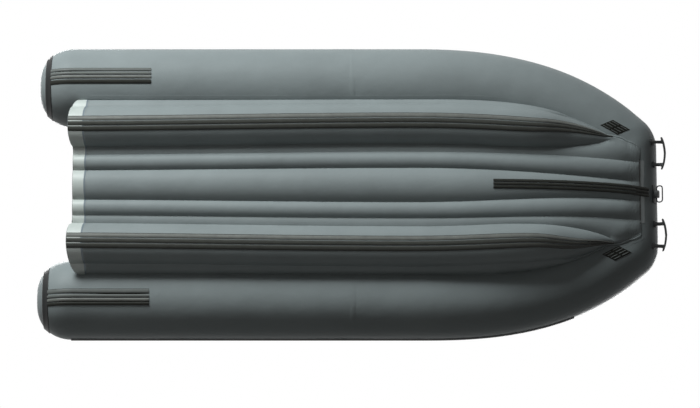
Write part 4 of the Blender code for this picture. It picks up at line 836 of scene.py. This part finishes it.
def make_bow_patches():
    """Wear patches, slanted to the stern, with ridges along them and a bar across the middle."""
    tree = mesh_tree("tube_skin_bow")
    along = np.array((math.cos(PATCH_TURN), -math.sin(PATCH_TURN), 0))
    across = np.array((math.sin(PATCH_TURN), math.cos(PATCH_TURN), 0))
    centre = np.array((FRONT_X - PATCH_SETBACK, keel_offset(TIP_X) + PATCH_OUT, 0))
    stern = -along * PATCH_LENGTH / 2
    outer = across * PATCH_WIDTH / 2 - along * PATCH_SLANT
    for word, side in SIDES:

        def spot_at(a, b, height):
            place = centre + stern + a * (outer - stern) + b * (-outer - stern)
            spot, normal = cast_up(tree, place[0], side * place[1])
            return np.array(spot + normal * height)

        base = ((0, 1), (0, 1))
        made = [patch_block("bow_patch_rubber_" + word, spot_at, base, STRIP_FOOT, 0.0022, STRAKE)]
        for k, a in enumerate(RIDGE_PLACES):
            for part, length in RIDGE_SPANS:
                ridge = ((a - RIDGE_HALF, a + RIDGE_HALF), length)
                made.append(patch_block("bow_patch_ridge_%s_%s_%d" % (part, word, k), spot_at, ridge,
                                        0.0004, 0.0052, SKID_RIDGE))
        bar = ((0.05, 0.95), (0.475, 0.525))
        made.append(patch_block("bow_patch_bar_" + word, spot_at, bar, 0.0004, 0.0044, STRAKE))
        for part in made:
            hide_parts("bow_patch_" + word)


def make_front_seam():
    """A dark strip along the floor's front edge where it meets the bow tube: painted shade for the shadow
    gap between the lobes' ends and the tube.
    """
    trees = [mesh_tree(name) for name in ("tube_skin_bow", "bottom_skin_centre", "bottom_skin_port",
                                          "bottom_skin_starboard")]
    rows, outs = [], []
    for y in span(-FRONT_WELD_HALF, FRONT_WELD_HALF, 60):
        lowest = []
        for x in span(FRONT_EDGE[0] - FRONT_WELD_AFT, FRONT_EDGE[0] + FRONT_WELD_FORE, 4):
            hits = [cast_up(tree, x, y) for tree in trees]
            lowest.append(min(filter(None, hits), key=lambda hit: hit[0].z))
        rows.append([np.array(spot) for spot, _ in lowest])
        outs.append([np.array(normal) for _, normal in lowest])
    flat = ((0, -0.0004), (0.2, 0.0009), (0.8, 0.0009), (1, -0.0004))
    ribbon("front_seam_weld", rows, outs, SEAM_SHADE, flat, "hull_fabric")


def make_seam_tapes():
    """Welded tapes round the tubes, over the seams between two chambers."""
    for word, side in SIDES:
        grid = [[side_ring(SEAM_X + at, side).point(a, lift - SINK) for a in turns_round(ROUND_STEPS)]
                for at, lift in SEAM_TAPE_SHAPE]
        sheet_piece("seam_tape_" + word, grid, HULL, "hull_fabric", 30, closed=True)


def make_stern_band():
    """The pale band under the floor's stern edge, with a darker seam tape along its fore edge."""
    whole = np.concatenate((SIDE_GRID, CENTRE_GRID[:, 1:-1], mirror(SIDE_GRID, -1)[:, ::-1]), axis=1)
    normals = grid_outward(whole)
    stern, fore, next_row = whole[:3]
    drawn_back = BAND_BACK + BAND_BACK_CREST * np.clip(1 - fore[:, 2:3] / BAND_CREST_Z, 0, 1)
    edge = blend(stern, fore, 1 - drawn_back / (fore[:, 0:1] - stern[:, 0:1]))
    rows = ((stern + np.array((-GAP, 0, 0)), normals[0], BAND_LIFT),
            (blend(stern, edge, 0.5), normals[0], BAND_LIFT_MIDDLE), (edge, normals[1], BAND_LIFT))
    outer = [row + normal * lift for row, normal, lift in rows]
    inner = [row + normal * BAND_INSIDE for row, normal, _ in rows]
    verts = [p for row in outer + inner[::-1] for p in row]
    count = whole.shape[1]
    faces = quads(6, count) + [(j + 1, j, 5 * count + j, 5 * count + j + 1) for j in range(count - 1)]
    faces += [tuple(range(0, 6 * count, count)), tuple(range(count - 1, 6 * count, count))[::-1]]
    band = piece("stern_band", verts, faces, BAND, "band_fabric", 50)
    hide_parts("floor_stern_band")
    ahead = blend(fore, next_row, 0.16) - fore
    tape = [edge + ahead * share + normals[1] * height
            for share, height in ((-0.28, 0.0021), (0.0, 0.0021), (0.5, 0.0009), (1.0, 0.0004))]
    sheet_piece("stern_seam_tape", tape, EDGE_TAPE, "hull_fabric", 50)
    line = [blend(fore, next_row, share) - drawn_back * np.array((1, 0, 0)) + normals[1] * height
            for share, height in ((0.24, 0.0001), (0.27, 0.0007), (0.30, 0.0001))]
    sheet_piece("stern_seam_line", line, TAPE, "hull_fabric", 50)


# Hardware: the solids' own shapes with rounded edges, and their small parts

DECK_N, DECK_LINE_LIMITS = 14, (0.78, 0.52, 0.25)
DECK_BULGE, DECK_FADE, DECK_WELD_SETBACK, VALVE_HOLE = 0.0100, 0.06, 0.05, 0.016
DECK_WELD_SHAPE = ((0.0, 0.0001), (0.10, 0.0007), (0.90, 0.0007), (1.0, 0.0001))
DECK_TAPE_OFF, DECK_TAPE_HALF, BOTTOM_TAPE_OFF = 0.030, 0.024, -0.016
PLATE_BOLT_INSET, PLATE_RIB_INSET = 0.022, 0.045
PLATE_RIB_SHAPE = ((-0.0022, -0.0004), (-0.0012, 0.0007), (0.0012, 0.0007), (0.0022, -0.0004))
SCREW_INSET_X, SCREW_INSET_Y = 0.060, 0.035
CAP_GRIP_RINGS, CAP_RIBS, CAP_RIB_DEPTH = (8, 9, 10), 24, 0.0011
PAD_LONG, PAD_WIDE, PAD_POWER, PAD_HEIGHT, PAD_FOOT, PAD_ROWS = 0.088, 0.064, 0.6, 0.0012, -0.0004, 8


def world_shape(node):
    """A solid's mesh in world places, without doubled points."""
    source = nodes[node]
    shape = bmesh.new()
    shape.from_mesh(source.data)
    bmesh.ops.transform(shape, matrix=source.matrix_world, verts=shape.verts)
    bmesh.ops.remove_doubles(shape, verts=shape.verts, dist=1e-6)
    return shape


def stand_in(node, shape, slot, sharp, body="hull"):
    """A reshaped copy of a solid, as a piece in the solid's place."""
    shape.verts.ensure_lookup_table()
    shape.verts.index_update()
    verts = [v.co.copy() for v in shape.verts]
    faces = [tuple(v.index for v in f.verts) for f in shape.faces]
    shape.free()
    made = piece(node + "_look", verts, faces, BY_SLOT[slot], slot, sharp, body)
    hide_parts(node)


def refined(node, slot, width, body="hull", segments=3, angle=28):
    """A copy of a solid, its triangles joined where they lie flat and its sharp edges rounded."""
    shape = world_shape(node)
    bmesh.ops.dissolve_limit(shape, angle_limit=math.radians(0.5), verts=shape.verts, edges=shape.edges)
    edges = [e for e in shape.edges if len(e.link_faces) == 2 and e.calc_face_angle(0) > math.radians(angle)]
    bmesh.ops.bevel(shape, geom=edges, offset=width, offset_type="OFFSET", segments=segments, profile=0.5,
                    affect="EDGES", clamp_overlap=True)
    stand_in(node, shape, slot, 25, body)


def softened(node, slot, swell):
    """A copy of a moulded solid, smoothed like a casting and swelled by what the smoothing takes."""
    shape = world_shape(node)
    bmesh.ops.join_triangles(shape, faces=shape.faces, angle_face_threshold=math.radians(40),
                             angle_shape_threshold=math.radians(60))
    bmesh.ops.subdivide_edges(shape, edges=shape.edges, cuts=1, use_grid_fill=True)
    for _ in range(2):
        bmesh.ops.smooth_vert(shape, verts=shape.verts, factor=0.5, use_axis_x=True, use_axis_y=True,
                              use_axis_z=True)
    shape.normal_update()
    for vert in shape.verts:
        vert.co += vert.normal * swell
    stand_in(node, shape, slot, 60)


def turned(name, profile, place, slot, body, sides, ribbed=(), ribs=0, rib_depth=0.0):
    """A turned shape round a place's Z axis, some of its rings cut into grip ribs."""
    rings = []
    for number, (radius, height) in enumerate(profile):
        ring = []
        for angle in turns_round(sides):
            r = radius - (rib_depth * (0.5 - 0.5 * math.cos(ribs * angle)) if number in ribbed else 0)
            ring.append(np.array(place @ Vector((r * math.cos(angle), r * math.sin(angle), height))))
        rings.append(ring)
    return bar_piece(name, rings, BY_SLOT[slot], slot, 30, body)


def place_at(origin, up):
    turn = RISING.rotation_difference(Vector(up).normalized())
    return Matrix.Translation(Vector(origin)) @ turn.to_matrix().to_4x4()


def bolt(name, origin, up, radius, body="hull"):
    """A domed screw head with a round socket."""
    rise = radius * 0.55
    profile = [(radius, -0.0006), (radius, rise * 0.25), (radius * 0.94, rise * 0.55),
               (radius * 0.78, rise * 0.86), (radius * 0.58, rise), (radius * 0.46, rise),
               (radius * 0.44, rise * 0.35), (0.0001, rise * 0.35)]
    turned(name, profile, place_at(origin, up), "steel", body, 24)


def node_points(node):
    source = nodes[node]
    return np.array([source.matrix_world @ v.co for v in source.data.vertices])


def node_limits(node):
    points = node_points(node)
    return points.min(axis=0), points.max(axis=0)


def axis_of(joint_name):
    for joint in frame["record"]["behaviour"]["joints"]:
        if joint["name"] == joint_name:
            return Vector(joint["axis"]).normalized()
    raise ValueError(joint_name)


def deck_row(contact, front):
    """A crosswise row of the deck's lobes, at the height where the deck meets the tubes."""
    x = contact[0]
    lines = (keel_offset(x) - sponson_half(x), rib_offset(x), centre_offset(x))
    stops = [contact[1]] + [min(line, contact[1] * share) for line, share in zip(lines, DECK_LINE_LIMITS)]
    stops += [-y for y in reversed(stops)]
    bulge = DECK_BULGE * min((front - x) / DECK_FADE, 1)
    spans = [((a, contact[2]), (b, contact[2]), -bulge, DECK_N) for a, b in zip(stops, stops[1:])]
    return [np.array((x, y, z)) for y, z in chain(spans)]


def make_deck():
    """The deck's lobes between its weld lines, open at the valve, each line covered by a narrow tape."""
    front = LAST_RING.point(DECK_ANGLE, GAP)[0]
    rings = course_rings(FLOOR_EDGE_X, 1, 60)
    grid = np.array([deck_row(ring.point(DECK_ANGLE, GAP), front) for ring in rings])
    skin = sheet_piece("deck_skin", grid, DECK, "deck_fabric", 60)
    valve = node_points("valve_cap_deck").mean(axis=0)
    shape = bmesh.new()
    shape.from_mesh(skin.data)
    near = [f for f in shape.faces if math.dist(f.calc_center_median()[:2], valve[:2]) < VALVE_HOLE]
    bmesh.ops.delete(shape, geom=near, context="FACES")
    shape.to_mesh(skin.data)
    shape.free()
    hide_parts("deck_panel")
    length = next(i for i, row in enumerate(grid) if row[0, 0] > front - DECK_WELD_SETBACK)
    for k in range(1, 7):
        rows = grid[:length, DECK_N * k - 2:DECK_N * k + 3]
        ribbon("deck_weld_%d" % k, rows, [[UP] * 5] * length, TAPE, DECK_WELD_SHAPE, "deck_fabric")


def tube_tape(name, rings, angle_of, half_width, lift, material=TAPE):
    """A welded tape along the tube, round an angle that may change along the way."""
    across = ((-1, STRIP_FOOT), (-0.97, lift * 0.8), (-0.5, lift), (0.5, lift), (0.97, lift * 0.8),
              (1, STRIP_FOOT))
    grid = [[ring.point(angle_of(ring) + half_width / ring.radius * share, out - SINK)
             for share, out in across] for ring in rings]
    sheet_piece(name, grid, material, "hull_fabric", 50)


def make_tapes():
    """The tapes that close the deck and the bottom to the tubes."""
    def deck_line(ring):
        return DECK_ANGLE + DECK_TAPE_OFF / ring.radius

    def bottom_line(ring):
        return ring.low + BOTTOM_TAPE_OFF / ring.radius

    for word, side in SIDES:
        rings = course_rings(FLOOR_EDGE_X + 0.002, side, 30)
        tube_tape("deck_tape_" + word, rings, deck_line, DECK_TAPE_HALF, 0.0007)
        rings = course_rings(FLOOR_EDGE_X + BAND_WIDTH, side, 30)
        tube_tape("bottom_tape_" + word, rings, bottom_line, 0.013, 0.0005, HULL)
    rings = front_rings(0.185, 12)
    tube_tape("deck_tape_bow", rings, deck_line, DECK_TAPE_HALF, 0.0007)
    tube_tape("bottom_tape_bow", rings, bottom_line, 0.015, 0.0006)


def make_transom():
    """The board, its holders, and its clamp plates with their bolts and grip ribs."""
    refined("transom_board", "marine_wood", 0.0035)
    for name, sign in (("transom_plate_outer", -1), ("transom_plate_inner", 1)):
        refined(name, "moulded_plastic", 0.0012)
        low, high = node_limits(name)
        face = low[0] if sign < 0 else high[0]
        for y in (low[1] + PLATE_BOLT_INSET, high[1] - PLATE_BOLT_INSET):
            for z in (low[2] + PLATE_BOLT_INSET, high[2] - PLATE_BOLT_INSET):
                bolt_name = "%s_bolt_%d_%d" % (name, y > 0, z > (low[2] + high[2]) / 2)
                bolt(bolt_name, (face, y, z), (sign, 0, 0), 0.0065)
        for k in range(7):
            z = low[2] + (high[2] - low[2]) * (k + 2.0) / 10
            rib = [[np.array((face + sign * lift, y, z + dz)) for dz, lift in PLATE_RIB_SHAPE]
                   for y in span(low[1] + PLATE_RIB_INSET, high[1] - PLATE_RIB_INSET, 12)]
            bar_piece("%s_rib_%d" % (name, k), rib, PLASTIC, "moulded_plastic")
    for word in WORDS:
        refined("transom_holder_" + word, "moulded_rubber", 0.0012, angle=35)


def make_seats():
    for node in ("seat_front", "seat_rear"):
        refined(node, "marine_wood", 0.0045, body=node)
        low, high = node_limits(node)
        for side, edge in ((-1, -low[1]), (1, high[1])):
            for k, x in enumerate((low[0] + SCREW_INSET_X, high[0] - SCREW_INSET_X)):
                place = (x, side * (edge - SCREW_INSET_Y), high[2])
                bolt("%s_screw_%d_%d" % (node, side, k), place, RISING, 0.005, body=node)
    for word in WORDS:
        refined("seat_rail_" + word, "moulded_rubber", 0.0016, angle=25)


def make_rowlocks():
    for word, side in SIDES:
        refined("rowlock_base_" + word, "moulded_plastic", 0.0016)
        refined("rowlock_swivel_" + word, "steel", 0.0016, body="rowlock_" + word)
        up = axis_of("rowlock_%s_turn" % word)
        points = node_points("rowlock_base_" + word)
        centre = Vector(points.mean(axis=0))
        low = min(Vector(p).dot(up) for p in points)
        make_pad("rowlock_patch_" + word, centre + up * (low - centre.dot(up)), side)


def make_pad(name, foot, side):
    """A rounded patch of fabric laid on the side tube round a fitting."""
    base = math.atan2(side * (SIDE_OFFSET * side - foot[1]), TUBE_Z - foot[2])
    rows = []
    for k in range(PAD_ROWS + 1):
        row = []
        for turn in turns_round(56):
            u, v = (math.copysign(abs(part) ** PAD_POWER, part) * half * k / PAD_ROWS
                    for part, half in ((math.cos(turn), PAD_LONG), (math.sin(turn), PAD_WIDE)))
            ring = side_ring(foot[0] + u, side)
            row.append(ring.point(base + v / ring.radius, (PAD_HEIGHT if k < PAD_ROWS else PAD_FOOT) - SINK))
        rows.append(row)
    sheet_piece(name, rows, TAPE, "hull_fabric", 50, closed=True)


def make_valves():
    """Four valves, each with a body, a plunger and a hollow ribbed cap."""
    for word in ("port", "starboard", "bow", "deck"):
        up = axis_of("valve_cap_%s_off" % word)
        cap = "valve_cap_" + word
        refined("valve_body_" + word, "moulded_plastic", 0.0006)
        points = node_points(cap)
        heights = points @ np.array(up)
        across = points - np.outer(heights, np.array(up))
        centre = (across.min(axis=0) + across.max(axis=0)) / 2
        low, high = heights.min(), heights.max()
        rest = high - 0.0085
        profile = [(0.0001, low), (0.0090, low), (0.0100, low + 0.0006), (0.0100, high - 0.0030),
                   (0.0205, high - 0.0030), (0.0207, rest + 0.0004), (0.0212, rest), (0.0226, rest),
                   (0.0230, rest + 0.0006), (0.0230, high - 0.0020), (0.0224, high - 0.0008), (0.0212, high),
                   (0.0170, high), (0.0160, high - 0.0008), (0.0060, high - 0.0008), (0.0050, high - 0.0002),
                   (0.0001, high)]
        place = place_at(centre, up)
        made = turned(cap + "_look", profile, place, "moulded_plastic", cap, 144, CAP_GRIP_RINGS, CAP_RIBS,
                      CAP_RIB_DEPTH)
        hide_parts(cap)
        refined("valve_plunger_" + word, "moulded_plastic", 0.0005, body="valve_plunger_" + word)


def make_small_hardware():
    """The drain, the tow eye and the bow handles."""
    refined("drain_housing", "moulded_plastic", 0.0008)
    refined("drain_plug", "moulded_rubber", 0.0012, body="drain_plug")
    refined("tow_block", "moulded_rubber", 0.0014)
    refined("tow_ring", "moulded_plastic", 0.0012, body="tow_ring", segments=2)
    for word in WORDS:
        softened("bow_handle_" + word, "moulded_rubber", 0.0016)


def paint_solids():
    """The looks of the solids that no piece stands in for."""
    for entry in frame["record"]["subparts"]:
        for place in nodes[entry["node"]].material_slots:
            place.material = BY_SLOT[entry["material_slot"]]


# Stage, light and camera

FLOOR_HALF_SIZE = 30
GLOW_DISTANCES, GLOW_STRENGTHS = (2.0, 9.0), (0.55, 0.96)
AMBIENT = 0.055
LIT_PLACE = Vector((0, 0, 0.3))
KEY_TURN, KEY_X, KEY_REACH = math.radians(55), -4.4, 9
KEY_PLACE = (KEY_X, -KEY_REACH * math.sin(KEY_TURN), -KEY_REACH * math.cos(KEY_TURN))
LAMPS = (("key_below", KEY_PLACE, 4.0, 3.2, 1330, (0.95, 1.0, 1.0)),
         ("fill_below", (-4.6, 1.6, -5.0), 3.0, 3.0, 30, (1.0, 1.0, 0.97)),
         ("top_key", (-2.4, -2.0, 6.0), 3.0, 3.0, 280, (1, 1, 1)),
         ("top_fill", (2.6, 0.5, 6.3), 3.0, 3.0, 190, (1, 1, 1)))
TILT, DISTANCE, AIM = math.radians(11.75), 24.0, Vector((-0.0189, 0.0608, 0.35))
PIXELS_PER_METRE, PICTURE_WIDTH, SENSOR_WIDTH = 172.0, 700, 36


def make_floor():
    """A pale floor that shows from above only, and lets the lamps under the boat shine through."""
    size = FLOOR_HALF_SIZE
    corners = [(x * size, y * size, 0) for x, y in ((-1, -1), (1, -1), (1, 1), (-1, 1))]
    mesh = bpy.data.meshes.new("floor")
    mesh.from_pydata(corners, [], [(0, 1, 2, 3)])
    made, tree, shader = new_material("floor_look")
    shader.inputs["Base Color"].default_value = (0.86, 0.86, 0.86, 1)
    shader.inputs["Emission Color"].default_value = (1, 1, 1, 1)
    shader.inputs["Roughness"].default_value = 0.7
    link = tree.links.new
    spot = tree.nodes.new("ShaderNodeNewGeometry")
    away = tree.nodes.new("ShaderNodeVectorMath")
    away.operation = "LENGTH"
    link(spot.outputs["Position"], away.inputs[0])
    glow = add_node(tree, "ShaderNodeMapRange", From_Min=GLOW_DISTANCES[0], From_Max=GLOW_DISTANCES[1],
                    To_Min=GLOW_STRENGTHS[0], To_Max=GLOW_STRENGTHS[1])
    link(away.outputs["Value"], glow.inputs["Value"])
    link(glow.outputs["Result"], shader.inputs["Emission Strength"])
    clear = tree.nodes.new("ShaderNodeBsdfTransparent")
    mix_shaders(tree, spot.outputs["Backfacing"], shader.outputs["BSDF"], clear.outputs["BSDF"],
                "Material Output")
    mesh.materials.append(made)
    floor = add_to_scene("floor", mesh)
    floor.visible_diffuse = floor.visible_glossy = floor.visible_transmission = floor.visible_shadow = False


def mix_shaders(tree, share, first, second, output):
    mix = tree.nodes.new("ShaderNodeMixShader")
    for source, socket in zip((share, first, second), mix.inputs):
        tree.links.new(source, socket)
    tree.links.new(mix.outputs["Shader"], tree.nodes[output].inputs["Surface"])


def make_world():
    """A dim warm light all round, which the camera and the glossy and clear surfaces see as white."""
    world = bpy.data.worlds.new("studio")
    bpy.context.scene.world = world
    world.use_nodes = True
    tree = world.node_tree
    soft = tree.nodes["Background"]
    soft.inputs["Color"].default_value = (1.0, 0.97, 0.94, 1)
    soft.inputs["Strength"].default_value = AMBIENT
    white = add_node(tree, "ShaderNodeBackground", Color=(1, 1, 1, 1), Strength=1.0)
    path = tree.nodes.new("ShaderNodeLightPath")
    seen = path.outputs["Is Camera Ray"]
    for kind in ("Is Glossy Ray", "Is Transmission Ray"):
        seen = add_math(tree, "MAXIMUM", seen, path.outputs[kind])
    mix_shaders(tree, seen, soft.outputs["Background"], white.outputs["Background"], "World Output")


def make_camera():
    """A far camera that looks up at the bottom, at the photograph's angle, with the bow to the right."""
    data = bpy.data.cameras.new("camera")
    data.sensor_width = SENSOR_WIDTH
    data.lens = PIXELS_PER_METRE * SENSOR_WIDTH * DISTANCE / PICTURE_WIDTH
    data.clip_end = 100
    camera = add_to_scene("camera", data)
    c, s = math.cos(TILT), math.sin(TILT)
    axes = Matrix(((1, 0, 0), (0, -c, s), (0, -s, -c))).to_4x4()
    camera.matrix_world = Matrix.Translation(AIM + DISTANCE * Vector((0, s, -c))) @ axes
    bpy.context.scene.camera = camera


def make_lamps():
    for name, place, size, size_y, power, colour in LAMPS:
        data = bpy.data.lights.new(name, "AREA")
        data.shape = "RECTANGLE"
        data.size, data.size_y = size, size_y
        data.energy, data.color = power, colour
        lamp = add_to_scene(name, data)
        lamp.location = place
        lamp.rotation_euler = (LIT_PLACE - Vector(place)).to_track_quat("-Z", "Y").to_euler()


for make in (make_tubes, make_bottom, make_stern_band, make_strakes, make_keel_strip, make_skid_strips,
             make_stern_caps, make_rub_strakes, make_bow_patches, make_front_seam, make_seam_tapes,
             make_deck, make_tapes, make_transom, make_seats, make_rowlocks, make_valves,
             make_small_hardware, paint_solids, make_floor, make_world, make_camera, make_lamps):
    make()
bpy.context.scene.view_settings.view_transform = "Standard"
